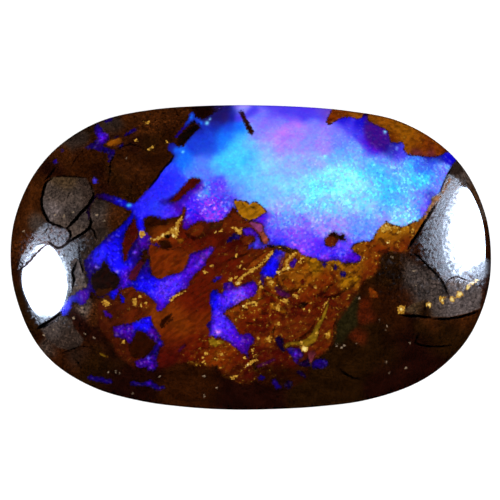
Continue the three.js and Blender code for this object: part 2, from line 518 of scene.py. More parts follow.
# The mass of rust fragments
RUST_MASS = [
    (143, 220), (147, 217), (152, 216), (158, 217.5), (164, 219.5), (170, 218.5), (174, 216.5),
    (178, 217.5), (181, 214), (182.5, 210), (184.5, 207), (186, 209), (185.5, 213), (182.5, 223),
    (183, 228), (186, 230), (189, 227.5), (192, 224.5), (197, 222), (203, 221), (209, 222), (216, 222),
    (222, 220), (226, 217), (230, 211), (234, 206), (237, 211), (243, 218), (249, 221), (256, 222),
    (262, 224), (264, 227), (264, 231), (267, 236), (269, 241), (267, 244.5), (276, 246), (284, 246.5),
    (291, 248.5), (298, 250), (301, 254), (306, 256), (312, 257), (317, 258.5), (321, 262), (326, 262),
    (330, 260.5), (334, 260), (338, 260), (342, 263), (344, 266), (348, 265.5), (352, 263.5), (357, 264),
    (360, 261), (361, 257), (358, 254), (354, 252), (351.5, 248), (355, 244), (360, 242), (366, 241),
    (371, 241), (374, 237), (377, 231), (384, 224), (386, 221), (389, 223), (393, 225), (398, 226),
    (403, 226.5), (408, 225), (413, 222), (419, 220.5), (424, 215), (428, 208), (431, 203), (432, 198),
    (437, 194.5), (440.5, 197), (436, 203), (431.5, 210), (428, 217), (424, 223), (421, 229), (417, 236),
    (409, 246), (408, 250), (403, 252), (398, 253), (393, 252), (388, 252), (383, 255), (380, 259),
    (379, 265), (377, 271), (372, 276), (366, 280), (361, 286), (357, 293), (353, 297), (352, 301),
    (349, 306), (345, 311), (341, 315), (338, 319), (336, 324), (335, 330), (335, 336), (334, 340),
    (331, 346), (327, 350), (317, 358), (311, 364), (308, 368), (310, 372), (308, 378), (303, 382),
    (298, 384), (292, 389), (284, 390), (276, 390), (270, 386), (262, 383), (255, 381), (250, 384),
    (242, 384), (235, 382), (229, 378), (222, 375), (219, 370), (217, 366), (212, 365), (208, 367.5),
    (203, 369), (196, 368), (191, 365), (187, 362), (182, 364.5), (177, 364), (170, 367), (163, 368),
    (155, 372), (148, 371), (140, 368), (133, 367), (127, 362), (121, 358), (116, 352), (113, 346),
    (103, 336), (100, 330), (98, 322), (99, 314), (97, 307), (99, 299), (104, 296), (116, 288), (121, 289),
    (128, 287), (140, 285), (150, 262), (149, 252), (146, 246), (150, 240), (148, 234), (145, 231),
    (144, 226),
]

# Tints of the rust mass and of the strips: the places of each colour, with its reach
RUST_WASHES = {
    DULL_RUST: [
        (118, 310, 13), (110, 327, 10), (120, 350, 12), (238, 372, 8), (364, 286, 5), (354, 295, 5),
        (343, 313, 5), (205, 230, 5),
    ],
    SIENNA: [
        (132, 315, 8), (138, 297, 8), (342, 300, 12), (327, 326, 9), (298, 326, 11), (330, 342, 7),
        (250, 258, 8), (196, 226, 6), (235, 222, 7), (305, 286, 5), (406, 240, 6), (366, 277, 7),
        (450, 150, 5), (310, 318, 8),
    ],
    BARK: [(104, 292, 7)],
    CHOCOLATE: [
        (108, 344, 6), (102, 332, 6), (175, 367, 6), (200, 371, 6), (225, 379, 6), (247, 384, 6),
        (265, 372, 9), (285, 372, 9), (300, 380, 6), (160, 221, 6), (384, 258, 5), (150, 224, 6),
    ],
    SOOT: [(150, 371, 6), (280, 381, 7)],
    TAN_RUST: [
        (158, 318, 8), (178, 320, 12), (215, 358, 9), (254, 304, 7), (268, 340, 8), (160, 230, 7),
        (372, 260, 6), (340, 113, 8), (424, 146, 7), (440, 149, 6),
    ],
    RUST: [
        (165, 262, 14), (180, 252, 9), (200, 322, 10), (168, 338, 9), (240, 315, 8), (290, 285, 10),
        (225, 364, 8), (330, 277, 8), (310, 292, 9), (385, 247, 6), (402, 247, 6), (372, 250, 7),
        (376, 266, 6), (332, 119, 5), (395, 138, 5),
    ],
    RUSSET: [
        (195, 300, 14), (200, 346, 12), (255, 326, 9), (266, 305, 7), (320, 305, 9), (240, 363, 6),
        (188, 240, 8), (214, 244, 7), (225, 265, 11), (300, 264, 4), (349, 304, 5),
    ],
    MAROON: [
        (168, 356, 12), (250, 374, 7), (270, 354, 8), (290, 360, 6), (201, 235, 6), (232, 248, 9),
        (216, 260, 7), (234, 208, 4), (295, 308, 7), (282, 352, 8), (257, 350, 7), (262, 330, 6),
        (330, 300, 6),
    ],
    TAWNY: [
        (301, 275, 9), (360, 248, 7), (395, 241, 6), (418, 224, 7), (356, 112, 7), (374, 114, 7),
        (386, 122, 8), (414, 140, 8),
    ],
    GOLDEN: [(318, 265, 9), (338, 264, 6), (351, 281, 7), (384, 228, 7), (402, 232, 9)],
    OCHRE: [(352, 269, 8), (386, 236, 7), (400, 130, 10)],
    SAND: [(428, 212, 6), (436, 198, 6)],
    MULBERRY: [(418, 152, 4), (430, 153, 4)],
}

# Separate fragments, the later over the earlier: outline, and colour where the washes don't give it
FRAGMENTS = {
    "dark wedge": (BLACK_BROWN, [
        (199, 124), (200, 128), (194, 133), (190, 138), (186, 142), (183, 146), (179, 146), (176, 142),
        (178, 136), (185, 130), (190, 126),
    ]),
    "short strip": (None, [
        (331, 112), (334, 95), (366, 98), (364, 113), (362, 118), (357, 119), (350, 117), (344, 117.5),
        (339, 119), (329, 125), (326, 122), (328, 117),
    ]),
    "long strip": (None, [
        (367, 98), (402, 105), (436, 128), (460, 148), (450, 152), (446, 152), (441, 155), (435, 157),
        (428, 157), (421, 156), (413, 155.5), (407, 154), (404, 150), (404, 145), (402, 142), (397, 143),
        (391, 142), (389, 137), (388, 131), (383, 128), (377, 125.5), (368, 121), (367.5, 116),
    ]),
    "prong": (MAROON, [
        (134, 216), (136, 219), (136, 224), (139, 232), (138, 237), (134, 242.5), (131, 247), (128, 253),
        (127, 258), (126, 262), (124, 262), (123, 256), (123, 250), (122, 243), (124, 238), (126, 231),
        (129, 226), (132, 222),
    ]),
    "diagonal sliver": (PLUM_BROWN, [
        (143, 256), (148, 252), (150, 258), (146, 261), (143, 265), (140, 270), (136, 280), (131, 281),
        (128, 277), (131, 271), (135, 266), (139, 262),
    ]),
    "sliver head": (CHOCOLATE, [
        (145, 250), (149, 253), (150, 258), (146, 261), (142, 262), (141, 257), (143, 252),
    ]),
    "upper sliver": (CHOCOLATE, [
        (239, 111.5), (243, 111), (246, 118), (254, 132), (252, 135), (248, 132), (242, 118),
    ]),
    "long sliver": (MAROON, [
        (192, 177.5), (199, 178), (201, 180.5), (198, 184), (193, 188), (189, 190.5), (180, 199.5),
        (175.5, 201.5), (170, 201), (176, 194), (182, 187.5), (187.5, 181.5),
    ]),
    "clast in the opal": (SIENNA, [
        (325, 243), (325, 239), (328, 236), (330, 233), (333, 232), (336, 233), (338, 235), (340, 235),
        (342, 234), (344, 235), (344, 238), (346, 240), (339, 240), (335, 246), (330, 247), (327, 246),
    ]),
    "left clast": (UMBER, [
        (104, 261), (108, 265), (111, 271), (116, 275), (120, 279), (120, 284), (117, 288), (112, 291),
        (108, 294), (103, 296), (98, 296), (95, 292), (92, 286), (91, 279), (92, 275), (100, 269),
    ]),
    "left clast foot": (BARK, [
        (98, 288), (104, 289), (110, 287), (114, 288), (110, 292), (104, 296), (98, 297), (95, 292),
    ]),
    "lower clast": (CHOCOLATE, [
        (136, 331), (142, 331), (146, 334), (150, 338), (154, 341), (157, 344), (153, 349), (150, 353),
        (146, 356), (141, 358), (135, 358), (131, 356), (129, 350), (129, 344), (132, 341),
    ]),
    "rust tile": (RUST, [
        (150, 243), (155, 245), (160, 249), (168, 250), (171, 250), (178, 247), (183, 249), (188, 252),
        (190, 255), (184, 270), (180, 273), (174, 274), (168, 276), (162, 279), (156, 278), (152, 275),
        (151, 270), (151, 264), (150, 258), (148, 252),
    ]),
    "dark scale": (CHOCOLATE, [(159, 241), (166, 240), (170, 242), (172, 247), (166, 249), (160, 248)]),
    "pod": (MAROON, [
        (185, 233), (188, 237), (194, 240), (201, 238), (206, 235), (203, 234), (197, 236.5), (191, 235),
    ]),
    "brown wedge": (SIENNA, [
        (240, 239), (245, 236), (251, 235), (255, 237), (253, 241), (249, 245), (244, 246),
    ]),
    "rose wedge": (ROSE, [
        (249, 222), (255, 222), (262, 224), (264, 227), (263, 231), (260, 234), (252, 226),
    ]),
    "clay wedge": (CLAY, [
        (259, 232), (263, 231), (265, 233), (268, 237), (269, 241), (267, 244.5), (264, 244), (262, 240),
    ]),
    "dark seam": (BLACK_BROWN, [
        (264, 245), (270, 244.5), (277, 245.5), (284, 246), (290, 248), (297, 250), (291, 250.5),
        (284, 249), (276, 248.5), (269, 247.5),
    ]),
    "olive scale": (BARK, [(282, 249.5), (288, 249.5), (294, 251), (290, 253), (285, 252.5)]),
    "rose low wedge": (MULBERRY, [
        (308, 352), (314, 351), (316, 354), (313, 360), (311, 365), (309, 361), (308, 357),
    ]),
    "amber scale": (TAN_RUST, [(368, 287), (372, 288), (377, 292), (379, 297), (375, 299), (370, 297)]),
    "ochre patch": (TAWNY, [
        (106, 143), (110, 140), (115, 139), (119, 137), (122, 138), (123, 141), (120, 144), (114, 146),
        (108, 146),
    ]),
    "dark top scale": (CHOCOLATE, [
        (145, 219), (152, 217), (160, 218.5), (167, 220), (168, 224), (152, 226), (147, 224),
    ]),
    "gold hole": (BLACK_BROWN, [(164, 234), (168, 233.5), (170.5, 236), (168, 238.5), (164.5, 237.5)]),
    "pod body": (SIENNA, [
        (186, 231), (190, 227), (196, 224.5), (202, 224), (205, 228), (203, 233), (198, 236), (191, 236),
        (187, 234),
    ]),
    "olive top": (BARK, [
        (209, 227), (213, 224), (219, 223), (223, 222), (222, 226), (217, 229), (211, 229),
    ]),
    "ochre slope": (TAN_RUST, [
        (246, 269), (251, 262), (258, 257), (264, 253), (271, 250), (268, 256), (262, 263), (254, 268),
    ]),
    "ochre bank two": (TAWNY, [
        (284, 260), (288, 256), (293, 253), (298, 251), (298, 254.5), (294, 258), (290, 261), (287, 266),
        (283, 269), (282.5, 264),
    ]),
    "red wedge": (MULBERRY, [
        (282, 257), (284.5, 256), (283.5, 262), (282, 268), (279, 272), (276.5, 275), (278, 268),
        (280, 262),
    ]),
    "round scale": (TAWNY, [
        (278, 276), (283, 272), (290, 270), (308, 270), (312, 274), (312, 282), (306, 287), (298, 288),
        (292, 290), (286, 289), (281, 285), (278, 281),
    ]),
    "round scale heart": (RUST, [(282, 280), (288, 278), (293, 281), (296, 286), (291, 289), (285, 287)]),
    "pit": (MAROON, [(300, 281), (303, 279), (306, 281), (305, 285), (301, 285)]),
    "plum patch": (AUBERGINE, [
        (274, 286), (279, 285.5), (284, 290), (289, 293), (291, 296), (286, 298), (280, 296), (276, 292),
    ]),
    "ring scale": (TAWNY, [
        (268, 278), (271, 276), (274, 279), (276, 283), (275, 287), (271, 288), (267, 285), (266, 281),
    ]),
    "ring heart": (SIENNA, [(270, 281), (272, 281), (273, 284), (271, 285.5), (269.5, 284)]),
    "tan upright": (TAWNY, [
        (258, 282), (261, 284), (262, 290), (261, 296), (264, 299), (259, 299), (257, 294), (258, 288),
    ]),
    "black hole": (BLACK_BROWN, [
        (298, 306), (301, 303), (306, 302), (309, 303), (306, 305), (303, 308), (299, 308),
    ]),
    "tan corner": (TAN_RUST, [
        (226, 312), (232, 308), (240, 305), (244, 308), (244, 314), (238, 318), (231, 319),
    ]),
    "ochre crumbs": (OCHRE, [
        (269, 304), (274, 302), (280, 305), (285, 309), (287, 314), (279, 312), (275, 310), (271, 309),
    ]),
    "low ochre": (TAWNY, [(264, 341), (268, 337), (272, 334), (273, 338), (271, 342), (266, 343)]),
    "plum streak": (AUBERGINE, [
        (256, 366), (262, 363), (268, 361), (274, 358), (275.5, 360), (270, 363), (264, 366), (258, 367.5),
    ]),
    "light scale": (GOLDEN, [(325, 335), (328, 331), (330.5, 331), (331, 336), (329, 339), (326, 338)]),
    "olive streak": (OLIVE_GOLD, [
        (99, 352), (103, 353.5), (108, 356), (108, 358), (104, 356.5), (100, 354.5),
    ]),
    "contact scale": (SAND, [(449.5, 177), (451, 179), (447, 187), (443, 194), (441.5, 193)]),
    "plum slit": (AUBERGINE, [(178, 351), (181, 347), (185, 344), (186, 346), (182, 349), (180, 352)]),
    "slit in the tile": (CHOCOLATE, [
        (160, 326), (162, 320), (167, 316), (172, 313.5), (170, 318), (165, 323), (162, 328),
    ]),
    "crown of the clast": (BLACK_BROWN, [
        (329, 236), (331, 232.5), (334, 231.5), (337, 233.5), (339, 235.5), (342, 233.5), (344.5, 235),
        (344, 238.5), (346, 240.5), (342, 241), (336, 238), (333, 235.5),
    ]),
    "tail bead": (OCHRE, [(177, 239), (181, 238), (184, 240), (182, 243), (178, 242.5)]),
    "ochre flake": (GOLDEN, [
        (233, 201), (236, 200), (245, 201), (249, 204), (253, 202), (256, 202), (262, 206), (267, 212),
        (262, 215), (256, 219), (249, 220.5), (243, 218), (238.5, 214), (237, 210),
    ]),
    "flake tail": (SIENNA, [
        (232, 211), (238, 214), (243, 219), (248, 222), (244, 223.5), (236, 220), (229, 216),
    ]),
    "yellow scale": (OLIVE_GOLD, [
        (208, 339), (213, 338.5), (218, 340), (224, 341), (224, 343), (219, 345), (216, 347), (210, 345),
    ]),
    "curved gold": (OLIVE_GOLD, [
        (327.5, 302), (329, 303), (327.5, 309), (325.5, 316), (321, 325), (319, 330), (318.5, 335),
        (316, 341), (311, 345), (307, 347.5), (302, 346), (296, 345), (291, 345.5), (287, 348), (284, 347),
        (285, 344), (290, 342), (297, 341.5), (303, 340), (307, 338), (311, 334), (313, 330), (316, 325),
        (320, 319), (326, 307),
    ]),
    "bead one": (GOLDEN, [
        (309, 259), (315, 258), (320, 261), (321, 266), (319, 270), (313, 269), (310, 265),
    ]),
    "bead two": (OCHRE, [(325, 266), (329, 263), (333, 265), (333.5, 269), (328, 270.5)]),
    "bead three": (GOLDEN, [(335, 261), (339, 260), (342, 263), (340, 266), (336, 266)]),
    "bead four": (OCHRE, [
        (344, 268), (349, 265), (355, 265), (360, 268), (357, 272), (350, 273), (345, 272),
    ]),
    "bead five": (GOLDEN, [
        (340, 284), (345, 279), (352, 276.5), (358, 277), (360, 279), (356, 282), (350, 284), (344, 287),
        (341, 287),
    ]),
    "bead six": (OCHRE, [(352, 248), (355, 245), (359, 246), (359, 251), (356, 253), (353, 251)]),
}

# Dark lines between scales of rust: half width and route
RUST_LINES = {
    "under the bank": (1.2, [(313, 297), (320, 295), (325, 291), (329, 287), (333, 284)]),
    "under the bead": (1.3, [
        (322, 297), (331, 297), (337, 296), (341, 292), (346, 289), (352, 286), (356, 283),
    ]),
    "over the bead": (0.6, [(346, 275), (351, 272.5), (356, 274), (360, 277), (362, 279)]),
    "flake pit": (1.2, [(251, 206.5), (255, 208.5)]),
    "flake nick": (0.9, [(242, 203), (244, 206)]),
    "slit": (0.8, [(313, 271.2), (323, 271.2)]),
    "round the scale": (1.2, [(277, 279), (278, 285), (283, 290.5), (290, 292.5), (297, 290), (303, 288)]),
    "long curve": (1.0, [(262, 286), (265, 291), (271, 294.5), (279, 298.5), (288, 299)]),
    "inside the gold": (0.8, [(294, 340), (302, 337.5), (308, 333), (312, 328), (315, 322)]),
    "blade edge": (1.0, [(275, 326), (273, 332), (274, 338)]),
    "tile slit": (0.5, [(163, 328), (170, 321), (174, 317)]),
    "red slit": (1.0, [(246, 323), (251, 323.5), (255, 325)]),
    "pod rim": (0.8, [(185, 233), (190, 237), (197, 238.5), (204, 235)]),
    "sunk line": (0.8, [(226, 262), (233, 258), (240, 256), (247, 254)]),
    "low line": (1.0, [(246, 352), (252, 362), (256, 370), (262, 374)]),
    "right flow": (0.6, [(330, 346), (334, 336), (334, 326), (338, 316), (345, 307)]),
    "tail": (0.9, [(246, 298), (240, 302.5), (232, 307.5), (226, 311)]),
}

# Bright gold: outlines of scales
GOLD_SCALES = {
    "pale streak": [
        (150, 238.5), (155, 239), (160, 236), (166, 232.5), (171, 229), (175, 225.5), (177, 222),
        (181, 217), (183.5, 214), (183, 217.5), (179, 223), (178, 230), (178, 235), (174.5, 239),
        (172, 236.5), (172, 233), (167, 234.5), (161, 238.5), (156, 241), (151, 241),
    ],
    "gold dot": [(140, 231), (144, 231), (145.5, 235), (143, 238), (140, 236.5)],
    "nugget": [(101, 302), (104, 300), (108, 301), (110, 304), (108, 306), (104, 305)],
    "plate": [(132, 299), (136, 298.5), (136.5, 304), (135.5, 307), (133, 304)],
    "small fan": [(232, 227), (237, 228), (242, 228.5), (242, 233), (239, 235), (236, 231.5)],
    "pale pearl": [(301, 347), (304, 345.5), (307, 347), (307.5, 350), (305, 352), (302, 351)],
    "bank crest": [(378, 230), (384, 224), (388, 223.5), (391, 227), (391, 230.5), (386, 231), (381, 231)],
    "bank side": [(391, 226), (396, 225.5), (398, 228), (394, 229)],
    "right nugget": [(465, 289), (468, 284), (472, 281.5), (474, 284), (471, 286), (468, 290)],
    "right streak": [(473, 283), (476, 280), (479, 278), (479.5, 280), (476, 282.5)],
    "left bank": [
        (275, 249.5), (272, 254), (267, 260), (261, 266), (255, 270.5), (249, 273.5), (244, 277),
        (241, 281), (239, 285), (235.5, 285), (236, 280.5), (240, 276.5), (245, 273.5), (249, 270),
        (252, 267.5), (257, 267), (262, 262), (267, 256), (271, 251.5),
    ],
    "lower arrow": [(229, 377), (234, 376), (238, 375), (236, 378), (231, 378.5)],
}

# Bright gold: strokes, by half width and route
GOLD_STROKES = {
    "right bank": (1.0, [(296, 252.5), (290, 257), (286, 262), (287, 267), (282, 270.5), (278, 274)]),
    "edge of the tile": (0.8, [(169, 300), (174, 297), (179, 294), (186, 290)]),
    "low twig": (1.2, [(245, 367), (249, 364), (253, 361), (259, 360)]),
    "bow": (1.0, [(243, 307), (248, 303), (254, 302), (257, 304), (253, 307)]),
    "bar": (1.1, [(217, 356), (221, 354), (224, 353)]),
    "bank line": (1.0, [(363, 260), (365, 256)]),
    "rust line": (0.7, [(321, 312), (324, 306), (328, 300)]),
}

# Bright gold: dots, by place and radius
GOLD_DOTS = [
    (401, 310, 3.7), (403, 306.5, 1.6), (429, 304.5, 2.5), (441, 298.5, 2), (444.5, 298, 1.4),
    (442.5, 302, 1.8), (452, 299, 2.6), (459.5, 294.5, 3.3), (163, 235, 1.6), (173.5, 236, 2),
    (388, 242.5, 1.5), (279, 272.5, 2), (288, 268.5, 2), (278.5, 324, 1.8), (327.5, 335, 2.5),
    (216, 231.5, 1.6), (221, 230, 1.4), (236, 255.5, 1.3), (212, 265.5, 1.2), (205, 272, 1.4),
    (230, 279, 2), (236, 277.5, 1.5), (242, 262, 1.2), (239, 267, 1.3), (244, 269, 1.3), (206, 353, 1.4),
    (204, 362, 1.6), (203, 357, 1.2), (216, 359, 1.3), (245, 358, 1.3), (253, 350, 1.4), (254, 356, 1.3),
    (246, 306, 2.2), (258, 338, 1.2), (269, 339, 2.6), (278, 308, 2.6), (286, 301, 2.2), (294, 295, 1.6),
    (297, 297, 1.3), (300, 290, 1.4), (300, 262, 1.5), (309, 311, 1.3), (304, 310, 1.1), (301, 343, 1.6),
    (317.5, 333, 1.4), (172, 299.5, 1.6), (140, 297, 1.5), (140.5, 306, 1.4), (146, 303, 1.3),
    (124, 342, 1.5), (302, 258, 1.4), (315, 287, 1.3), (399, 232, 1.8), (413, 229, 1.2), (412, 233, 1),
    (262, 287, 2), (260, 283, 1.6), (271, 282, 2.2), (268, 278, 1.4), (145, 122.7, 1.4), (148, 122.5, 1.2),
    (136, 140, 1.5), (149, 149, 1.2), (152.5, 147, 1.2), (167, 142, 1.2),
]

# Painted highlights on the gold, at its palest points: place and radius
GLINTS = [
    (175.5, 228, 1.3), (173, 235.5, 1.2), (162.5, 235, 1.1), (156, 238.5, 0.9), (288, 268.5, 1.2),
    (279, 272.5, 1.2), (304.5, 349, 2.2), (247.5, 365, 1.2), (215.5, 231, 1.1), (459.5, 294, 2.1),
    (452, 299, 1.6), (443, 300, 1.3), (429, 304.5, 1.5), (468, 287, 1.8), (477, 280, 1.4), (238, 283, 1.1),
    (401, 309, 1.2), (472, 283, 1.6), (387, 226, 1), (243.5, 306, 1), (364, 258, 1), (387.5, 243, 1.1),
]

# Where gold flecks stand in the rust: the places of each strength, with its reach
GOLD_GRAIN = {
    0.0: [
        (285, 378, 14), (180, 320, 25), (106, 279, 12), (143, 345, 12), (347, 318, 8), (180, 190, 15),
        (245, 120, 15), (138, 270, 8),
    ],
    0.05: [(165, 235, 20), (165, 262, 14), (195, 300, 20), (130, 235, 12), (120, 345, 14)],
    0.1: [(120, 315, 22), (215, 232, 20), (250, 210, 14), (335, 240, 10), (366, 310, 12)],
    0.15: [(240, 262, 22), (265, 365, 20), (400, 130, 40)],
    0.4: [(300, 325, 22), (250, 345, 22), (330, 300, 20)],
    0.5: [(140, 300, 10)],
    0.6: [(215, 358, 18)],
    0.7: [(300, 280, 24)],
    0.8: [(340, 272, 22)],
    0.9: [(390, 238, 24), (260, 300, 22)],
}

# Tints of the ironstone: the places of each colour, with its reach
IRONSTONE_WASHES = {
    BARK: [
        (130, 170, 18), (28, 195, 14), (22, 245, 14), (60, 195, 18), (168, 117, 9), (130, 119, 8),
        (150, 133, 6), (64, 158, 7), (93, 316, 5), (432, 325, 6), (462, 322, 9), (468, 200, 10),
    ],
    EARTH: [
        (150, 163, 10), (118, 192, 12), (16, 272, 9), (37, 336, 4), (120, 135, 7), (176, 127, 8),
        (122, 160, 9), (140, 182, 8), (95, 165, 12), (79, 153, 6), (70, 345, 18), (182, 380, 14),
        (202, 390, 12), (400, 330, 7), (385, 300, 12), (405, 296, 8), (450, 240, 20), (480, 290, 12),
        (160, 150, 9),
    ],
    TAUPE: [(39, 222, 6), (50, 346, 6), (85, 312, 5), (468, 180, 7), (480, 208, 7)],
    OLIVE: [
        (20, 300, 10), (30, 325, 9), (105, 215, 12), (110, 168, 6), (116, 180, 7), (128, 193, 7),
        (90, 119, 8), (152, 144, 8), (100, 365, 16), (300, 396, 12), (330, 382, 14), (350, 360, 14),
        (380, 350, 16), (420, 331, 6), (440, 338, 12), (458, 334, 10), (390, 278, 10),
    ],
    SOOT: [
        (80, 322, 6), (135, 149, 7), (55, 170, 8), (100, 172, 5), (103, 187, 5), (120, 384, 14),
        (150, 376, 10), (232, 396, 14), (268, 396, 12), (402, 342, 12), (420, 362, 14), (390, 378, 12),
        (205, 111, 7), (80, 325, 8), (95, 335, 8), (110, 352, 8),
    ],
    DARK_TAUPE: [(114, 124, 7), (72, 141, 8), (76, 355, 8), (457, 166, 5), (95, 240, 9), (82, 262, 8)],
    SIENNA: [(367, 304, 4)],
    DULL_RUST: [(368, 313, 5), (363, 318, 4), (355, 336, 4), (362, 338, 4)],
    OLIVE_GREEN: [(352, 303, 5), (347, 315, 6), (341, 327, 6), (338, 337, 4)],
    DRAB: [(424, 284, 13)],
    FAWN: [(475, 193, 6)],
    MIDNIGHT: [(222, 107, 7)],
    BLACK_BROWN: [(192, 130, 6)],
}

# Tiles between cracks, painted a paler grey-brown that is partly the ironstone's own colour and partly a
# painted sheen of the softboxes: strength of their haze, and outline
IRONSTONE_TILES = {
    "round tile": (0.1, [
        (52, 177), (46, 183), (43, 190), (41.5, 200), (42, 208), (45, 215), (49, 222), (53, 224.5),
        (60, 226.5), (66, 228.5), (71, 224), (89, 204), (93, 198), (94, 191), (91, 186), (86, 178),
        (74, 176.5),
    ]),
    "second tile": (0.2, [
        (95, 199), (104, 201), (114, 204), (127, 210), (131, 214.5), (118, 227), (108, 234), (100, 242),
        (97, 239), (92, 228), (91, 220), (90, 213), (91, 206),
    ]),
    "shell": (0.1, [
        (66, 229), (71, 224), (80, 214), (88, 206), (89, 214), (90, 226), (82, 234), (72, 240), (70, 236),
    ]),
    "contact tile": (0.2, [
        (70, 262), (76, 258), (80, 262), (84, 275), (87, 287), (80, 291), (72, 297), (71, 285),
    ]),
    "left foot": (0.15, [
        (39, 326), (47, 321), (57, 313), (64, 316), (72, 320), (74, 328), (79, 333), (84, 340), (80, 346),
        (70, 350), (58, 348), (46, 338),
    ]),
    "right foot": (0.2, [
        (450, 298), (447, 284), (454, 278), (466, 281), (474, 284), (482, 290), (480, 308), (468, 313),
        (450, 317), (430, 317), (415, 314), (402, 311), (412, 304), (427, 299),
    ]),
}

# Tints of the tiles, partly their own colour and partly painted sheen: the places of each colour, with its
# reach
TILE_WASHES_AND_SHEEN = {
    FAWN: [(66, 181, 8), (415, 308, 6)],
    DARK_TAUPE: [
        (86, 185, 7), (89, 197, 6), (97, 228, 8), (95, 206, 6), (68, 334, 7), (74, 342, 6), (60, 345, 6),
    ],
    TAUPE: [(58, 196, 8), (75, 197, 8), (62, 221, 6), (76, 228, 6), (80, 287, 6)],
    PALE_TAUPE_SHEEN: [(53, 210, 7), (78, 274, 8), (470, 300, 10), (455, 306, 10)],
    DRAB: [(70, 211, 7), (101, 213, 8), (84, 219, 6), (56, 329, 8), (440, 308, 8)],
    BARK: [(114, 216, 9)],
    OLIVE: [(424, 313, 6)],
}

# How coarse the ironstone's grain is: the places of each strength, with its reach
COARSE = {
    0.0: [(130, 384, 20), (250, 392, 40)],
    0.1: [(20, 300, 16), (380, 365, 40), (440, 335, 20), (485, 250, 10)],
    0.2: [(25, 220, 16), (448, 240, 11)],
    0.3: [(448, 265, 9)],
    0.4: [(155, 165, 20), (128, 166, 12), (60, 170, 18), (90, 350, 14)],
    0.5: [(118, 125, 14), (447, 200, 9)],
    0.6: [(90, 150, 30)],
    0.8: [(75, 245, 14), (430, 225, 8), (460, 305, 15)],
    0.9: [(95, 215, 16), (60, 237, 7), (36, 246, 7), (420, 285, 20)],
    1.0: [(152, 117, 13), (166, 124, 9), (140, 188, 9), (48, 232, 6), (75, 330, 14), (422, 250, 12)],
    2.2: [(25, 255, 8)],
}

# Where the ironstone's polish is hazy: the places of each strength, with its reach
HAZE = {
    0.0: [
        (86, 310, 10), (82, 325, 7), (45, 283, 14), (12, 250, 7), (14, 290, 14), (468, 230, 11),
        (470, 205, 8), (470, 255, 8), (485, 230, 10),
    ],
    0.05: [(30, 223, 9), (380, 370, 40)],
    0.1: [
        (68, 200, 24), (86, 254, 6), (70, 355, 14), (95, 345, 12), (24, 200, 14), (30, 330, 10),
        (50, 160, 18), (200, 390, 40), (300, 395, 40), (458, 170, 6), (470, 311, 10), (478, 185, 10),
        (340, 340, 30),
    ],
    0.15: [
        (110, 140, 40), (90, 370, 30), (412, 268, 10), (425, 275, 8), (450, 305, 16), (440, 335, 22),
        (390, 330, 30),
    ],
    0.2: [(28, 238, 6), (82, 278, 10), (100, 215, 22), (130, 180, 30), (435, 283, 7), (420, 309, 8)],
    0.3: [(24, 250, 7), (28, 311, 5), (418, 247, 7), (421, 234, 5), (463, 180, 5), (415, 285, 22)],
    0.4: [(82, 238, 9), (480, 290, 10)],
    0.42: [(453, 238, 6), (455, 254, 6), (456, 214, 6), (461, 199, 6), (461, 267, 6)],
    0.45: [(424, 256, 5)],
    0.5: [(40, 320, 6)],
    0.55: [(70, 268, 6)],
    0.6: [(74, 266, 4), (432, 262, 5), (446, 215, 7)],
    0.64: [(443, 236, 7), (445, 256, 7)],
    0.65: [(75, 250, 9)],
    0.68: [(451, 196, 7), (449, 272, 7)],
    0.7: [(70, 284, 4), (464, 278, 6)],
    0.75: [(69, 277, 4), (451, 181, 5), (479, 270, 6)],
    0.8: [(474, 278, 5)],
    0.9: [(57, 234, 11), (45, 240, 10)],
    1.0: [(430, 240, 8)],
}

# Places where the haze ends sharply: its strength, and outline
HAZE_TILES = {
    "arch": (0.66, [
        (50, 224), (58, 227), (66, 229), (70, 234), (68, 241), (62, 247), (55, 246), (48, 240), (42, 234),
        (45, 230),
    ]),
    "right wedge": (1.0, [
        (440, 196), (446, 186), (452, 181), (455, 184), (448, 192), (442, 203), (436, 218), (433, 236),
        (436, 255), (441, 268), (446, 282), (439, 272), (432, 260), (426, 246), (425, 232), (431, 214),
    ]),
    "arch foot": (0.3, [
        (447, 289), (450, 281), (456, 278), (464, 280), (473, 284), (472, 292), (462, 291), (452, 294),
    ]),
    "left mirror": (0.0, [
        (50, 246), (47, 242.5), (41, 242.5), (36, 245), (36, 254), (31, 260), (25, 266), (20, 272),
        (20, 290), (26, 303), (33, 309), (41, 313), (50, 314), (59, 309), (66, 300), (68, 287), (65, 272),
        (60, 259), (55, 250),
    ]),
    "left rim tile": (0.55, [
        (17, 271), (25, 266), (31, 260), (36, 254), (36, 245), (41, 242.5), (36, 239), (28, 247), (21, 258),
    ]),
}

# Pale specks in the ironstone: place and radius
PALE_SPECKS = [
    (379.5, 320.5, 1), (386.5, 326.5, 1), (385, 330, 0.8), (410, 342.5, 0.8), (386, 362, 0.8),
    (389.5, 373, 0.8), (406, 368, 0.7), (160, 377, 0.9), (204, 377, 1), (217, 388, 0.9), (204, 396, 0.9),
    (85, 334, 1), (94, 338, 0.7), (53, 330, 0.8), (44, 335, 0.8), (336, 345, 1.3), (341, 348, 1),
    (344.5, 346, 1.2), (357, 343, 0.8), (359, 298, 0.9), (126, 158.5, 0.7), (110, 174, 0.7), (97, 215, 0.9),
    (104, 221, 0.9), (116, 372, 0.9), (108, 372, 0.7), (392, 257, 1), (430, 280, 0.7), (414, 271, 0.8),
    (416, 285, 0.7), (24, 231, 0.7), (246, 365, 1.3), (82, 308, 0.8), (82, 312, 0.8), (74, 318, 0.9),
    (64, 216, 0.8), (55, 215, 0.7), (73, 212, 0.7), (119, 373, 0.8), (133, 393, 0.7),
]

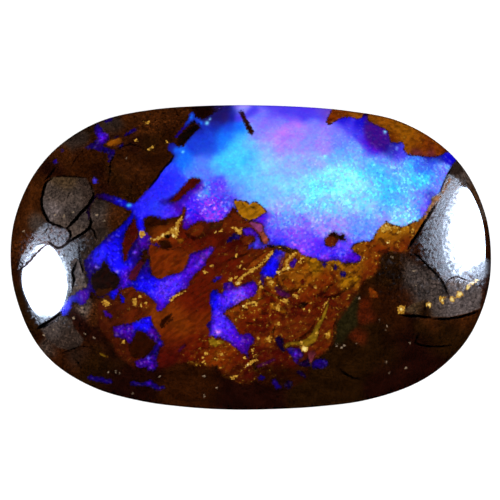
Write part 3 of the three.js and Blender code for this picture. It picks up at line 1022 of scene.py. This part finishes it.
# Cracks in the ironstone: half width and route
CRACKS = {
    "tile, left": (1.4, [
        (52, 178), (46, 183), (43.5, 190), (41.5, 200), (42, 208), (45, 215), (49, 222), (53, 224.5),
        (60, 226.5), (66, 228.5),
    ]),
    "tile, foot": (1.5, [
        (66, 228.5), (69.5, 231), (70.5, 235), (69, 240), (66, 244), (62, 247), (58, 248), (54, 246),
        (50, 243), (47, 241.5),
    ]),
    "tile, right": (1.5, [
        (66, 229), (71, 224), (76, 219), (80, 214), (85, 209), (89, 204), (93, 198), (94, 191),
    ]),
    "tile, shoulder": (1, [(88, 179), (91, 186), (92.5, 194)]),
    "tile, top": (0.6, [(52, 177), (62, 176), (74, 176.5), (86, 178)]),
    "tile, middle": (0.7, [(72, 188), (69, 194), (67, 198)]),
    "gap above the tile": (1, [(56, 166), (53, 171), (48, 177), (44, 181)]),
    "upper left": (0.6, [(83, 150), (78, 156), (73, 163), (71, 168)]),
    "brown tile, left": (0.7, [(113, 157), (110, 164), (110, 173), (108, 182), (110, 190)]),
    "brown tile, top": (0.6, [(114, 152), (121, 147), (130, 144), (139, 146), (147, 151)]),
    "shell, one": (0.9, [(49, 225), (47, 229), (45, 232.5), (42, 234)]),
    "shell, two": (0.8, [(50, 243), (48, 246.5)]),
    "shell, three": (1.4, [(64, 247), (70, 241), (82, 234), (87, 230), (90, 227), (91, 222), (90, 216)]),
    "shell, four": (1, [(90, 226), (93, 230), (95, 235), (97, 240)]),
    "shell, five": (1.1, [(79, 239), (79, 247), (79, 254), (80, 261), (82, 268), (84, 275)]),
    "shell, six": (1.5, [(77, 261), (74.5, 267), (72.5, 273), (74, 279), (72, 291)]),
    "left rim": (1.3, [(48, 244), (42, 248), (36, 254), (31, 260), (25, 266), (17, 271)]),
    "lower left": (2.3, [(62, 311), (55, 318.5), (48, 323), (43, 325.5), (37, 329)]),
    "foot, left": (0.9, [(74, 358), (78, 363), (82, 369)]),
    "foot, faint": (0.5, [(62, 353), (70, 350), (80, 346), (92, 347)]),
    "right contact": (1.6, [
        (438, 202), (433, 209), (429, 216), (421, 228), (417, 235), (412, 242), (408, 249),
    ]),
    "right contact, head": (0.8, [(453, 166), (448, 174), (444, 183), (441, 191), (440, 197)]),
    "right long": (1.1, [
        (412, 252), (418, 256), (436, 274), (441, 280), (444, 285), (446, 290), (449, 296),
    ]),
    "right arch": (1, [(446, 282), (450, 279), (454, 277), (459, 277), (464, 279.5), (470, 281)]),
    "right foot": (1.2, [(432, 318.5), (441, 319), (450, 318.5), (460, 317), (470, 314), (480, 311)]),
    "right foot, dark": (1.5, [(400, 315), (410, 316), (418, 316), (425, 317), (432, 318)]),
    "right spur": (0.8, [(425, 303), (425, 310), (427, 316)]),
    "lower right": (0.9, [
        (421, 332), (417, 337), (415, 343), (421, 345), (430, 346.5), (440, 346.5), (452, 345),
    ]),
    "below the rust": (1, [(338, 367), (344, 373), (353, 378), (364, 379.5)]),
    "left clast edge": (0.8, [(112, 271), (116, 274.5), (120, 278.5)]),
    "window edge": (0.8, [
        (174, 155), (171, 161), (165, 167), (160, 173), (157, 178.5), (152, 184.5), (147, 190.5),
    ]),
}


def linear(colour):
    """A colour of 0 to 255 as the renderer's own linear values."""
    share = np.asarray(colour, dtype=float) / 255
    return np.where(share <= 0.04045, share / 12.92, ((share + 0.055) / 1.055) ** 2.4)


# Shape of the cut


def smooth_outline():
    """Close points along the smooth curve through the outline's points, drawn to the stone's exact size."""
    at = np.array(OUTLINE)
    before, after, beyond = (np.roll(at, turn, axis=0)[:, None] for turn in (1, -1, -2))
    at = at[:, None]
    t = np.linspace(0, 1, OUTLINE_STEPS, endpoint=False)[:, None]
    curve = at + (after - before) * t / 2
    curve = curve + (before - 2.5 * at + 2 * after - 0.5 * beyond) * t**2
    curve = curve + (1.5 * (at - after) + 0.5 * (beyond - before)) * t**3
    curve = curve.reshape(-1, 2)
    low, high = curve.min(axis=0), curve.max(axis=0)
    return (curve - (low + high) / 2) * (LENGTH, WIDTH) / (high - low)


def outline_places(walks):
    """Places on the outline at shares of the way round it, anticlockwise from the right end."""
    curve = smooth_outline()
    closed = np.vstack([curve, curve[:1]])
    gone = np.append(0, np.hypot(*np.diff(closed, axis=0).T).cumsum())
    return np.column_stack([np.interp(walks % 1 * gone[-1], gone, closed[:, axis]) for axis in (0, 1)])


def dome_height(share):
    """Height of the dome at a share of the way out to the edge."""
    cosine = math.sqrt(1 - (share * math.sin(DOME_HALF_SWEEP)) ** 2)
    fall = (1 - cosine) / (1 - math.cos(DOME_HALF_SWEEP))
    return THICKNESS - (THICKNESS - GIRDLE_TOP) * fall


def section_below_dome():
    """The stone's section from the dome's edge to the flat back, as shares of the outline and heights."""
    start = (DOME_SHARE, dome_height(DOME_SHARE))
    turn = (1, GIRDLE_TOP)
    end = (1, GIRDLE_TOP - GIRDLE_EASE)
    section = []
    for step in range(1, ARRIS_STEPS + 1):
        t = step / ARRIS_STEPS
        section.append(tuple(
            (1 - t) ** 2 * start[axis] + 2 * t * (1 - t) * turn[axis] + t**2 * end[axis] for axis in (0, 1)
        ))
    for step in range(1, GIRDLE_STEPS + 1):
        section.append((1, end[1] + (BACK_BEVEL - end[1]) * step / GIRDLE_STEPS))
    section.append((BACK_SHARE, 0))
    return section


def walk_and_share(u, v):
    """A cell corner of the flat square grid, as a walk round the outline and a share of the way out to it."""
    corner_walk = CELLS_ACROSS / (CELLS_ALONG + CELLS_ACROSS) / 4
    if u == 0 and v == 0:
        return 0, 0
    if abs(u) >= abs(v):
        walk = (0 if u > 0 else 0.5) + corner_walk * v / u
        return walk, abs(u)
    walk = (0.25 if v > 0 else 0.75) - (0.25 - corner_walk) * u / v
    return walk, abs(v)


def domed_grid():
    """A flat grid drawn out to the oval and lifted to the dome."""
    shape = bmesh.new()
    bmesh.ops.create_grid(shape, x_segments=CELLS_ALONG, y_segments=CELLS_ACROSS, size=1)
    spots = [walk_and_share(*(round(part, GRID_DIGITS) for part in corner.co.xy)) for corner in shape.verts]
    walks, shares = np.transpose(spots)
    for corner, (x, y), share in zip(shape.verts, outline_places(walks), shares * DOME_SHARE):
        corner.co = (x * share, y * share, dome_height(share))
    return shape


def stone_mesh():
    """The cabochon: the dome with its rim drawn down to the flat back."""
    shape = domed_grid()
    rim = [edge for edge in shape.edges if edge.is_boundary]
    ground_edges = []
    share, height = DOME_SHARE, dome_height(DOME_SHARE)
    for next_share, next_height in section_below_dome():
        grown = bmesh.ops.extrude_edge_only(shape, edges=rim)["geom"]
        corners = [part for part in grown if isinstance(part, bmesh.types.BMVert)]
        rim = [part for part in grown if isinstance(part, bmesh.types.BMEdge) and part.is_boundary]
        widen = next_share / share
        bmesh.ops.scale(shape, vec=(widen, widen, 1), verts=corners)
        bmesh.ops.translate(shape, vec=(0, 0, next_height - height), verts=corners)
        if next_height <= BACK_BEVEL:
            ground_edges += rim
        share, height = next_share, next_height
    bmesh.ops.edgeloop_fill(shape, edges=rim)
    bmesh.ops.bevel(
        shape, geom=ground_edges, offset=GROUND_EDGE_EASE,
        affect="EDGES", segments=2, profile=0.5, material=-1,
    )
    bmesh.ops.recalc_face_normals(shape, faces=shape.faces)
    for face in shape.faces:
        face.smooth = len(face.verts) <= QUAD

    mesh = bpy.data.meshes.new("boulder_opal")
    shape.to_mesh(mesh)
    shape.free()
    return mesh


# Markings, worked out for every corner of the mesh


def corner_places(mesh):
    """Each corner's own place, and where the photograph shows it, in its pixels."""
    points = np.empty(len(mesh.vertices) * 3)
    mesh.vertices.foreach_get("co", points)
    points = points.reshape(-1, 3)
    rise = np.maximum(points[:, 2] - GIRDLE_TOP, 0)
    nearer = CAMERA_HEIGHT / (CAMERA_HEIGHT - rise) / PIXEL
    across = PHOTO_SIZE / 2 + (points[:, 0] - CAMERA_X) * nearer
    down = PHOTO_SIZE / 2 - (points[:, 1] - CAMERA_Y) * nearer
    return points, np.column_stack([across, down])


def to_segment(places, start, end):
    """Distance of places from the straight line between two points, and how far along it they lie."""
    run = np.subtract(end, start)
    along = np.clip((places - start) @ run / (run @ run), 0, 1)
    return np.hypot(*(places - start - along[:, None] * run).T), along


def near_route(places, route):
    """Which places are near enough to a route to be worth measuring."""
    low = np.min(route, axis=0) - FAR
    high = np.max(route, axis=0) + FAR
    return np.flatnonzero(np.all((places > low) & (places < high), axis=1))


def depth_in(places, outline):
    """How far in pixels places lie inside a closed outline."""
    near = near_route(places, outline)
    spots = places[near]
    distance = np.full(len(near), FAR)
    inside = np.zeros(len(near), dtype=bool)
    for start, end in zip(outline, outline[1:] + outline[:1]):
        distance = np.minimum(distance, to_segment(spots, start, end)[0])
        if start[1] != end[1]:
            crosses = (spots[:, 1] < start[1]) != (spots[:, 1] < end[1])
            at = start[0] + (spots[:, 1] - start[1]) * (end[0] - start[0]) / (end[1] - start[1])
            inside ^= crosses & (spots[:, 0] < at)
    depth = np.full(len(places), -FAR)
    depth[near] = np.where(inside, distance, -distance)
    return depth


def depth_in_any(places, outlines):
    """How far places lie inside any of some closed outlines."""
    return np.max([depth_in(places, outline) for outline in outlines], axis=0)


def depth_in_strokes(places, strokes):
    """How far places lie inside any of some strokes, which thin out at both their ends."""
    depth = np.full(len(places), -FAR)
    for half_width, route in strokes:
        near = near_route(places, route)
        for step, (start, end) in enumerate(zip(route, route[1:])):
            distance, along = to_segment(places[near], start, end)
            to_end = np.minimum(step + along, len(route) - 1 - step - along)
            width = half_width * np.clip(STROKE_END + (1 - STROKE_END) * to_end, 0, 1)
            depth[near] = np.maximum(depth[near], width - distance)
    return depth


def depth_in_dots(places, dots):
    """How far places lie inside any of some round dots."""
    depth = np.full(len(places), -FAR)
    for x, y, radius in dots:
        depth = np.maximum(depth, radius - np.hypot(places[:, 0] - x, places[:, 1] - y))
    return depth


def nearness(places, x, y, reach):
    """How near places lie to one place: one there, and fading out over a reach."""
    return np.exp(-((places[:, 0] - x) ** 2 + (places[:, 1] - y) ** 2) / reach**2)


def blend(places, washes):
    """A soft mix of colours or strengths, each strongest at its own places."""
    total = np.zeros(len(places))
    mixed = 0
    for value, spots in washes.items():
        for x, y, reach in spots:
            weight = nearness(places, x, y, reach) + FAINTEST * reach
            total += weight
            mixed = mixed + weight[:, None] * np.atleast_1d(value)
    return mixed / total[:, None]


def lay_over(below, value, cover):
    """A value laid over others, as far as it covers them."""
    cover = np.clip(cover, 0, 1)[:, None]
    return below * (1 - cover) + np.array(value) * cover


def drift(points, size, amount):
    """A slow sideways wander for places, so that soft washes get cloudy edges."""
    noise.seed_set(CLOUD_SEED)
    return np.array([noise.noise_vector(Vector(point) / size)[:2] for point in points]) * amount


def rust_markings(places, clouded):
    """How deep places lie in the rust and in its fragments, how near they are to a seam, and their colour."""
    rust = depth_in(places, RUST_MASS)
    pieces = np.full(len(places), -FAR)
    seam = np.abs(rust)
    hue = blend(clouded, RUST_WASHES)
    for colour, outline in FRAGMENTS.values():
        depth = depth_in(places, outline)
        pieces = np.maximum(pieces, depth)
        seam = np.minimum(seam, np.abs(depth))
        if colour:
            hue = lay_over(hue, colour, depth + HALF_PIXEL)
    seam = np.minimum(seam, -depth_in_strokes(places, RUST_LINES.values()))
    return rust, pieces, seam, hue


def opal_hues(places, clouded):
    """The opal's washes, with its soft patches and small flashes laid over them."""
    hue = blend(clouded, OPAL_WASHES)
    half_clouded = (places + clouded) / 2
    for colour, outline in OPAL_PATCHES.values():
        hue = lay_over(hue, colour, (depth_in(half_clouded, outline) / PATCH_SOFTNESS + 1) / 2)
    for colour, flashes in OPAL_FLASHES.items():
        for x, y, radius in flashes:
            hue = lay_over(hue, colour, nearness(places, x, y, radius))
    return hue


def ironstone_markings(places, clouded):
    """The ironstone's colour, haze and coarseness, with its tiles, painted paler partly as a sheen, and its
    sharp patches of haze.
    """
    hue = blend(clouded, IRONSTONE_WASHES)
    haze = blend(places, HAZE)
    coarse = blend(places, COARSE)
    tile_hue_and_sheen = blend(places, TILE_WASHES_AND_SHEEN)
    for strength, outline in IRONSTONE_TILES.values():
        cover = depth_in(places, outline) + HALF_PIXEL
        # The tiles' paler grey-brown is partly the ironstone's own colour and partly a painted sheen
        hue = lay_over(hue, tile_hue_and_sheen, cover)
        haze = lay_over(haze, strength, cover)
        coarse = lay_over(coarse, TILE_COARSENESS, cover)
    for strength, outline in HAZE_TILES.values():
        haze = lay_over(haze, strength, depth_in(places, outline) + HALF_PIXEL)
    return hue, haze, coarse


def gold_depth(places):
    """How far places lie inside any of the gold."""
    gold = np.maximum(depth_in_any(places, GOLD_SCALES.values()), depth_in_dots(places, GOLD_DOTS))
    return np.maximum(gold, depth_in_strokes(places, GOLD_STROKES.values()))


def above_seam(points, places):
    """How far in pixels points lie above the wavy line down the stone's edge where opal and rust end."""
    seam_depth = SEAM_DEPTH + SEAM_WANDER * np.sin(places[:, 0] / SEAM_WAVE)
    return (points[:, 2] - GIRDLE_TOP + seam_depth) / PIXEL


def add_value(mesh, name, values):
    """Stores one number for every corner."""
    mesh.attributes.new(name, "FLOAT", "POINT").data.foreach_set("value", values.astype(np.float32))


def add_colour(mesh, name, colours):
    """Stores one colour, given from 0 to 255, for every corner."""
    full = np.ones((len(colours), 4), dtype=np.float32)
    full[:, :3] = linear(colours)
    mesh.attributes.new(name, "FLOAT_COLOR", "POINT").data.foreach_set("color", full.ravel())


def cut_cracks(mesh, points, cracks):
    """Cuts the cracks into the face as shallow grooves."""
    on_face = points[:, 2] > GIRDLE_TOP
    points[:, 2] -= CRACK_DEPTH * np.clip((cracks - CRACK_LIP) / CRACK_FULL_WIDTH, 0, 1) * on_face
    mesh.vertices.foreach_set("co", points.ravel())
    mesh.update()


def mark_stone(mesh):
    """Stores the markings on the mesh, and cuts the cracks into it."""
    points, places = corner_places(mesh)
    clouded = places + drift(points, CLOUD_SIZE, CLOUD_AMOUNT)
    rust, pieces, seam, fragment_hue = rust_markings(places, clouded)
    ironstone_hue, haze, coarse = ironstone_markings(places, clouded)
    pockets = depth_in_any(places, OPAL_POCKETS.values())
    opal = np.maximum(depth_in(places, OPAL_WINDOW), depth_in_any(places, OPAL_BLOTS.values()))
    opal = np.maximum(np.minimum(opal, -rust), pockets)
    opal = np.minimum(opal, -pieces)
    above = above_seam(points, places)
    cracks = depth_in_strokes(places, CRACKS.values())

    depths = {
        "opal": np.minimum(opal, above),
        "rust": np.minimum(np.minimum(rust, -pockets), above),
        "piece": np.minimum(pieces, above),
        "seam": seam,
        "gold": gold_depth(places),
        "glint": depth_in_dots(places, GLINTS),
        "speck": depth_in_dots(places, PALE_SPECKS),
        "crack": cracks,
    }
    for name, depth in depths.items():
        add_value(mesh, name, depth * PIXEL / MM)
    strengths = {
        "pinfire": blend(places, PINFIRE),
        "edge_shade": blend(places, EDGE_SHADE),
        "gold_grain": blend(places, GOLD_GRAIN),
        "haze": haze,
        "coarse": coarse,
    }
    for name, strength in strengths.items():
        add_value(mesh, name, strength[:, 0])
    add_colour(mesh, "opal_hue", opal_hues(places, clouded))
    add_colour(mesh, "fragment_hue", fragment_hue)
    add_colour(mesh, "ironstone_hue", ironstone_hue)
    cut_cracks(mesh, points, cracks)


# Finish of the stone


class Painter:
    """Adds nodes to a material, each fed by values or by other nodes."""

    def __init__(self, material):
        self.tree = material.node_tree
        place = self.node("ShaderNodeTexCoord").outputs["Object"]
        self.where = self.vector("SCALE", place, 1 / MM)
        self.fine_wander = self.wander(FINE_EDGE, FINE_EDGE_WANDER)
        self.broad_wander = self.wander(BROAD_EDGE, BROAD_EDGE_WANDER)

    def node(self, kind, inputs=(), **settings):
        made = self.tree.nodes.new(kind)
        for name, value in settings.items():
            setattr(made, name, value)
        for socket, value in dict(inputs).items():
            self.feed(made.inputs[socket], value)
        return made

    def feed(self, socket, value):
        if isinstance(value, bpy.types.NodeSocket):
            self.tree.links.new(value, socket)
        else:
            socket.default_value = value

    def attribute(self, name, output="Fac"):
        return self.node("ShaderNodeAttribute", attribute_name=name).outputs[output]

    def maths(self, operation, *values):
        return self.node("ShaderNodeMath", enumerate(values), operation=operation).outputs[0]

    def other(self, share):
        """What a share leaves of the whole."""
        return self.maths("SUBTRACT", 1.0, share)

    def vector(self, operation, *values):
        sockets = (0, 3) if operation == "SCALE" else (0, 1, 2)
        return self.node("ShaderNodeVectorMath", zip(sockets, values), operation=operation).outputs[0]

    def ease(self, value, low, high, to_low=0.0, to_high=1.0):
        """A soft step: from one value at a low limit to another at a high one."""
        inputs = {"Value": value, "From Min": low, "From Max": high, "To Min": to_low, "To Max": to_high}
        return self.node("ShaderNodeMapRange", inputs, interpolation_type="SMOOTHSTEP").outputs["Result"]

    def mix(self, share, first, second):
        """Two colours mixed."""
        return self.node("ShaderNodeMix", {0: share, 6: first, 7: second}, data_type="RGBA").outputs[2]

    def between(self, share, first, second):
        """Two numbers mixed."""
        return self.node("ShaderNodeMix", {0: share, 2: first, 3: second}, data_type="FLOAT").outputs[0]

    def grain(self, size, detail=2.0, output="Fac", where=None):
        """Cloudy noise whose lumps are about a size in millimetres."""
        inputs = {"Vector": where or self.where, "Scale": 1 / size, "Detail": detail, "Roughness": 0.6}
        return self.node("ShaderNodeTexNoise", inputs).outputs[output]

    def cells(self, size):
        """Random colours in cells of about a size in millimetres."""
        return self.node("ShaderNodeTexVoronoi", {"Vector": self.where, "Scale": 1 / size}).outputs["Color"]

    def wander(self, size, amount):
        """A cloudy number about nought, by which edges wander."""
        return self.maths("MULTIPLY", self.maths("SUBTRACT", self.grain(size), 0.5), amount)

    def mask(self, name, softness, fine, broad):
        """Where a marking is: its depth past an edge that wanders a little, softened over a few microns."""
        wander = self.maths("MULTIPLY", self.broad_wander, broad)
        wander = self.maths("MULTIPLY_ADD", self.fine_wander, fine, wander)
        depth = self.maths("ADD", self.attribute(name), wander)
        return self.ease(depth, -softness, softness)


def paint_colour(colour):
    """A colour from 0 to 255 as a socket's value."""
    return (*linear(colour), 1)


def ironstone_colour(paint):
    """Dark brown, cloudy, with fine grit and a few pale specks."""
    clouds = paint.grain(IRONSTONE_CLOUD, detail=4)
    clouds = paint.ease(clouds, low=0.33, high=0.67, to_low=0.62, to_high=1.25)
    grit = paint.ease(paint.grain(IRONSTONE_GRIT, detail=3), low=0.3, high=0.7, to_low=0.6, to_high=1.4)
    dust = paint.ease(paint.grain(IRONSTONE_DUST), low=0.45, high=0.75, to_low=0.9, to_high=2.4)
    hollows = paint.ease(paint.grain(IRONSTONE_HOLLOW, detail=3), low=0.34, high=0.5, to_low=0.3)
    coarse = paint.between(paint.attribute("coarse"), 1.0, paint.maths("MULTIPLY", dust, hollows))
    level = paint.maths("MULTIPLY", paint.maths("MULTIPLY", clouds, grit), coarse)
    colour = paint.vector("SCALE", paint.attribute("ironstone_hue", "Color"), level)
    specks = paint.mask("speck", softness=0.03, fine=1.6, broad=0.2)
    return paint.mix(specks, colour, paint_colour(SPECK_GREY))


def rust_colour(paint):
    """Streaked rust, darkened along the edges of its scales by dark lines and by painted contact shade, with
    dark pits and grains of gold.
    """
    along = paint.node(
        "ShaderNodeMapping",
        {"Vector": paint.where, "Rotation": (0, 0, STREAK_TURN), "Scale": STREAK_STRETCH},
        vector_type="TEXTURE",
    ).outputs[0]
    streaks = paint.grain(RUST_STREAK, detail=4, where=along)
    streaks = paint.ease(streaks, low=0.33, high=0.67, to_low=0.55, to_high=1.15)
    # Dark lines between the scales, with painted contact shade darkening the rust along the edge of every
    # fragment
    seams_and_contact_shade = paint.maths("ADD", paint.attribute("seam"), paint.fine_wander)
    seams_and_contact_shade = paint.ease(seams_and_contact_shade, low=-0.03, high=0.06, to_low=0.25)
    level = paint.maths("MULTIPLY", streaks, seams_and_contact_shade)
    colour = paint.vector("SCALE", paint.attribute("fragment_hue", "Color"), level)
    gold_grain = paint.attribute("gold_grain")
    mottle = paint.ease(paint.grain(RUST_MOTTLE, detail=3), low=0.47, high=0.62)
    mottle = paint.maths("MULTIPLY", mottle, gold_grain)
    colour = paint.mix(paint.maths("MULTIPLY", mottle, MOTTLE_STRENGTH), colour, paint_colour(MOTTLE_GOLD))
    flecks = paint.ease(paint.grain(RUST_GRAIN, detail=1), low=0.6, high=0.7)
    colour = paint.mix(paint.maths("MULTIPLY", flecks, mottle), colour, paint_colour(FLECK_GOLD))
    pits = paint.ease(paint.grain(RUST_BLOTCH, detail=1.5), low=0.5, high=0.34, to_high=0.8)
    pits = paint.maths("MULTIPLY", pits, paint.between(gold_grain, 0.3, 1.0))
    return paint.mix(pits, colour, paint_colour(PIT_RED))


def opal_colour(paint):
    """The soft washes of the opal, broken up by pinfire and mottled with thin spots, with painted shade
    darkening it towards its edges.
    """
    pinfire = paint.attribute("pinfire")
    sparks = paint.cells(OPAL_SPARK)
    clouds = paint.vector("SUBTRACT", paint.grain(OPAL_CLOUD, detail=3, output="Color"), (0.5, 0.5, 0.5))
    fine = paint.vector("ADD", paint.grain(OPAL_FLICKER, output="Color"), sparks)
    fine = paint.vector("SUBTRACT", fine, (1, 1, 1))
    flicker = paint.vector("MULTIPLY", fine, paint.vector("SCALE", OPAL_FLICKER_TINT, pinfire))
    flicker = paint.vector("MULTIPLY_ADD", clouds, OPAL_CLOUD_TINT, flicker)
    flicker = paint.vector("ADD", flicker, OPAL_LEVEL)
    colour = paint.vector("MULTIPLY", paint.attribute("opal_hue", "Color"), flicker)

    flash = paint.node("ShaderNodeSeparateColor", {0: sparks}).outputs["Green"]
    flash = paint.ease(flash, low=0.8, high=0.98)
    flash = paint.maths("MULTIPLY", flash, paint.maths("MULTIPLY", pinfire, pinfire))
    colour = paint.vector("MULTIPLY_ADD", colour, paint.vector("SCALE", OPAL_FLASH_GAIN, flash), colour)
    colour = paint.vector("ADD", colour, paint.vector("SCALE", OPAL_FLASH_GLOW, flash))

    # Painted shade: the opal darkens towards its edges, where it meets the rust and the ironstone
    depth = paint.maths("ADD", paint.attribute("opal"), paint.fine_wander)
    shade = paint.attribute("edge_shade")
    reach = paint.between(shade, 0.09, 0.27)
    thin_spots_and_edge_shade = paint.ease(paint.grain(OPAL_THIN_SPOT, detail=4), low=0.32, high=0.6, to_low=0.35, to_high=1.15)
    thin_spots_and_edge_shade = paint.between(shade, 1.0, thin_spots_and_edge_shade)
    thin_spots_and_edge_shade = paint.maths("MULTIPLY", thin_spots_and_edge_shade, paint.ease(depth, low=-0.04, high=reach, to_low=0.3))
    return paint.vector("SCALE", colour, thin_spots_and_edge_shade)


def gold_colour(paint):
    """Gold that pales at the crests of its grains, with painted highlights at its glints."""
    crests = paint.ease(paint.grain(GOLD_CREST), low=0.3, high=0.75)
    colour = paint.mix(crests, paint_colour(OLD_GOLD), paint_colour(BRIGHT_GOLD))
    # Painted highlights: the glints are laid on in pale gold
    return paint.mix(paint.mask("glint", softness=0.04, fine=1.0, broad=0.2), colour, paint_colour(PAINTED_GLINT_GOLD))


def hazy_places(paint):
    """Where the polish is hazy, with ragged edges."""
    haze = paint.maths("SUBTRACT", paint.attribute("haze"), HAZE_RAGGEDNESS / 2)
    ragged = paint.maths("MULTIPLY_ADD", paint.grain(HAZE_PATCH), HAZE_RAGGEDNESS, haze)
    return paint.ease(ragged, low=0.15, high=0.75)


def hazy_pits(paint, hazy, bare):
    """Dark pits in the haze of the bare ironstone, the more the coarser it is."""
    pits = paint.ease(paint.grain(HAZE_PIT, detail=1.5), low=0.48, high=0.38, to_high=0.9)
    pits = paint.maths("MULTIPLY", pits, hazy)
    pits = paint.maths("MULTIPLY", pits, paint.attribute("coarse"))
    return paint.maths("MULTIPLY", pits, bare)


def ground_back(paint):
    """The bevel and the back, which are ground and not polished."""
    height = paint.node("ShaderNodeSeparateXYZ", {0: paint.where}).outputs["Z"]
    return paint.ease(height, low=BACK_BEVEL / MM + 0.1, high=BACK_BEVEL / MM - 0.05)


def boulder_opal_finish():
    """Polished ironstone with opal, rust fragments and gold, each kept to its own markings."""
    material = bpy.data.materials.new("boulder opal")
    material.use_nodes = True
    paint = Painter(material)
    opal = paint.mask("opal", softness=0.03, fine=1.8, broad=0.3)
    rust = paint.mask("rust", softness=0.11, fine=1.0, broad=0.6)
    fragment = paint.maths("MAXIMUM", rust, paint.mask("piece", softness=0.05, fine=1.2, broad=0.3))
    gold = paint.mask("gold", softness=0.03, fine=2.0, broad=0.3)
    covered = paint.maths("MAXIMUM", opal, fragment)
    bare = paint.other(covered)
    hazy = hazy_places(paint)
    crack = paint.mask("crack", softness=0.03, fine=0.6, broad=0.1)
    crack = paint.maths("MAXIMUM", crack, hazy_pits(paint, hazy, bare))
    ground = ground_back(paint)

    colour = paint.mix(fragment, ironstone_colour(paint), rust_colour(paint))
    colour = paint.mix(opal, colour, opal_colour(paint))
    colour = paint.mix(gold, colour, gold_colour(paint))
    colour = paint.mix(crack, colour, paint_colour(CRACK_BLACK))

    grit = paint.grain(HAZE_GRIT)
    matt = paint.ease(grit, low=0.3, high=0.7, to_low=0.3, to_high=0.44)
    matt = paint.between(hazy, POLISH_ROUGHNESS, matt)
    gloss = paint.between(covered, matt, OPAL_ROUGHNESS)
    polish = paint.maths("MULTIPLY", paint.other(hazy), paint.other(paint.maths("MAXIMUM", opal, ground)))
    relief = {"Strength": paint.maths("MULTIPLY", hazy, bare), "Distance": GRIT_RELIEF, "Height": grit}

    finish = {
        "Base Color": colour,
        "Metallic": crack,
        "Roughness": paint.between(ground, gloss, GROUND_ROUGHNESS),
        "Coat Weight": paint.maths("MULTIPLY", polish, paint.other(crack)),
        "Coat Roughness": COAT_ROUGHNESS,
        "Coat IOR": STONE_IOR,
        "IOR": STONE_IOR,
        "Specular IOR Level": STONE_SPECULAR,
        "Normal": paint.node("ShaderNodeBump", relief).outputs[0],
    }
    shader = material.node_tree.nodes["Principled BSDF"]
    for socket, value in finish.items():
        paint.feed(shader.inputs[socket], value)
    return material


def make_stone():
    """The whole stone, which stands for the solid of the same size."""
    mesh = stone_mesh()
    mark_stone(mesh)
    mesh.materials.append(boulder_opal_finish())
    stone = bpy.data.objects.new("boulder_opal", mesh)
    bpy.context.scene.collection.objects.link(stone)
    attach(stone, "root")
    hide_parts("stone")


# The studio


def white_floor_finish():
    """Chalky white with a faint glow."""
    material = bpy.data.materials.new("white floor")
    material.use_nodes = True
    finish = {
        "Base Color": FLOOR_WHITE,
        "Roughness": 1.0,
        "Specular IOR Level": 0.0,
        "Emission Color": WHITE,
        "Emission Strength": FLOOR_GLOW,
    }
    shader = material.node_tree.nodes["Principled BSDF"]
    for socket, value in finish.items():
        shader.inputs[socket].default_value = value
    return material


def make_floor():
    """A plain white floor that the polished stone doesn't mirror."""
    shape = bmesh.new()
    bmesh.ops.create_circle(shape, cap_ends=True, segments=FLOOR_SIDES, radius=FLOOR_RADIUS)
    mesh = bpy.data.meshes.new("floor")
    shape.to_mesh(mesh)
    shape.free()
    mesh.materials.append(white_floor_finish())
    floor = bpy.data.objects.new("floor", mesh)
    bpy.context.scene.collection.objects.link(floor)
    floor.visible_glossy = False


def add_softbox(name, azimuth, elevation, tilt, length, breadth):
    """An oval softbox that shows only as a reflection in the polish."""
    light = bpy.data.lights.new(name, "AREA")
    light.color = SOFTBOX_COLOUR
    light.shape = "ELLIPSE"
    light.size = length
    light.size_y = breadth
    light.energy = SOFTBOX_RADIANCE * math.pi * math.pi / 4 * length * breadth
    box = bpy.data.objects.new(name, light)
    around, up = math.radians(azimuth), math.radians(elevation)
    aim = Vector((math.cos(around) * math.cos(up), math.sin(around) * math.cos(up), math.sin(up)))
    box.location = aim * SOFTBOX_DISTANCE
    box.rotation_mode = "QUATERNION"
    box.rotation_quaternion = aim.to_track_quat("Z", "Y") @ Quaternion((0, 0, 1), math.radians(tilt))
    box.visible_camera = False
    box.visible_diffuse = False
    bpy.context.scene.collection.objects.link(box)


def light_studio():
    """Even white light all round, kept out of the mirror of the polish, and two softboxes that are in it."""
    world = bpy.data.worlds.new("white studio")
    world.use_nodes = True
    backdrop = world.node_tree.nodes["Background"]
    backdrop.inputs["Color"].default_value = WHITE
    backdrop.inputs["Strength"].default_value = BACKDROP_STRENGTH
    world.cycles_visibility.glossy = False
    bpy.context.scene.world = world
    add_softbox("left softbox", **LEFT_SOFTBOX)
    add_softbox("right softbox", **RIGHT_SOFTBOX)


def place_camera():
    """Straight down on the face, framed as in the photograph."""
    camera = bpy.data.cameras.new("camera")
    camera.sensor_width = SENSOR
    camera.lens = LENS
    camera.clip_start = CLIP_NEAR
    camera.clip_end = CLIP_FAR
    eye = bpy.data.objects.new("camera", camera)
    eye.location = (CAMERA_X, CAMERA_Y, GIRDLE_TOP + CAMERA_HEIGHT)
    bpy.context.scene.collection.objects.link(eye)
    bpy.context.scene.camera = eye


place_camera()
make_stone()
make_floor()
light_studio()
bpy.context.scene.view_settings.view_transform = "Standard"
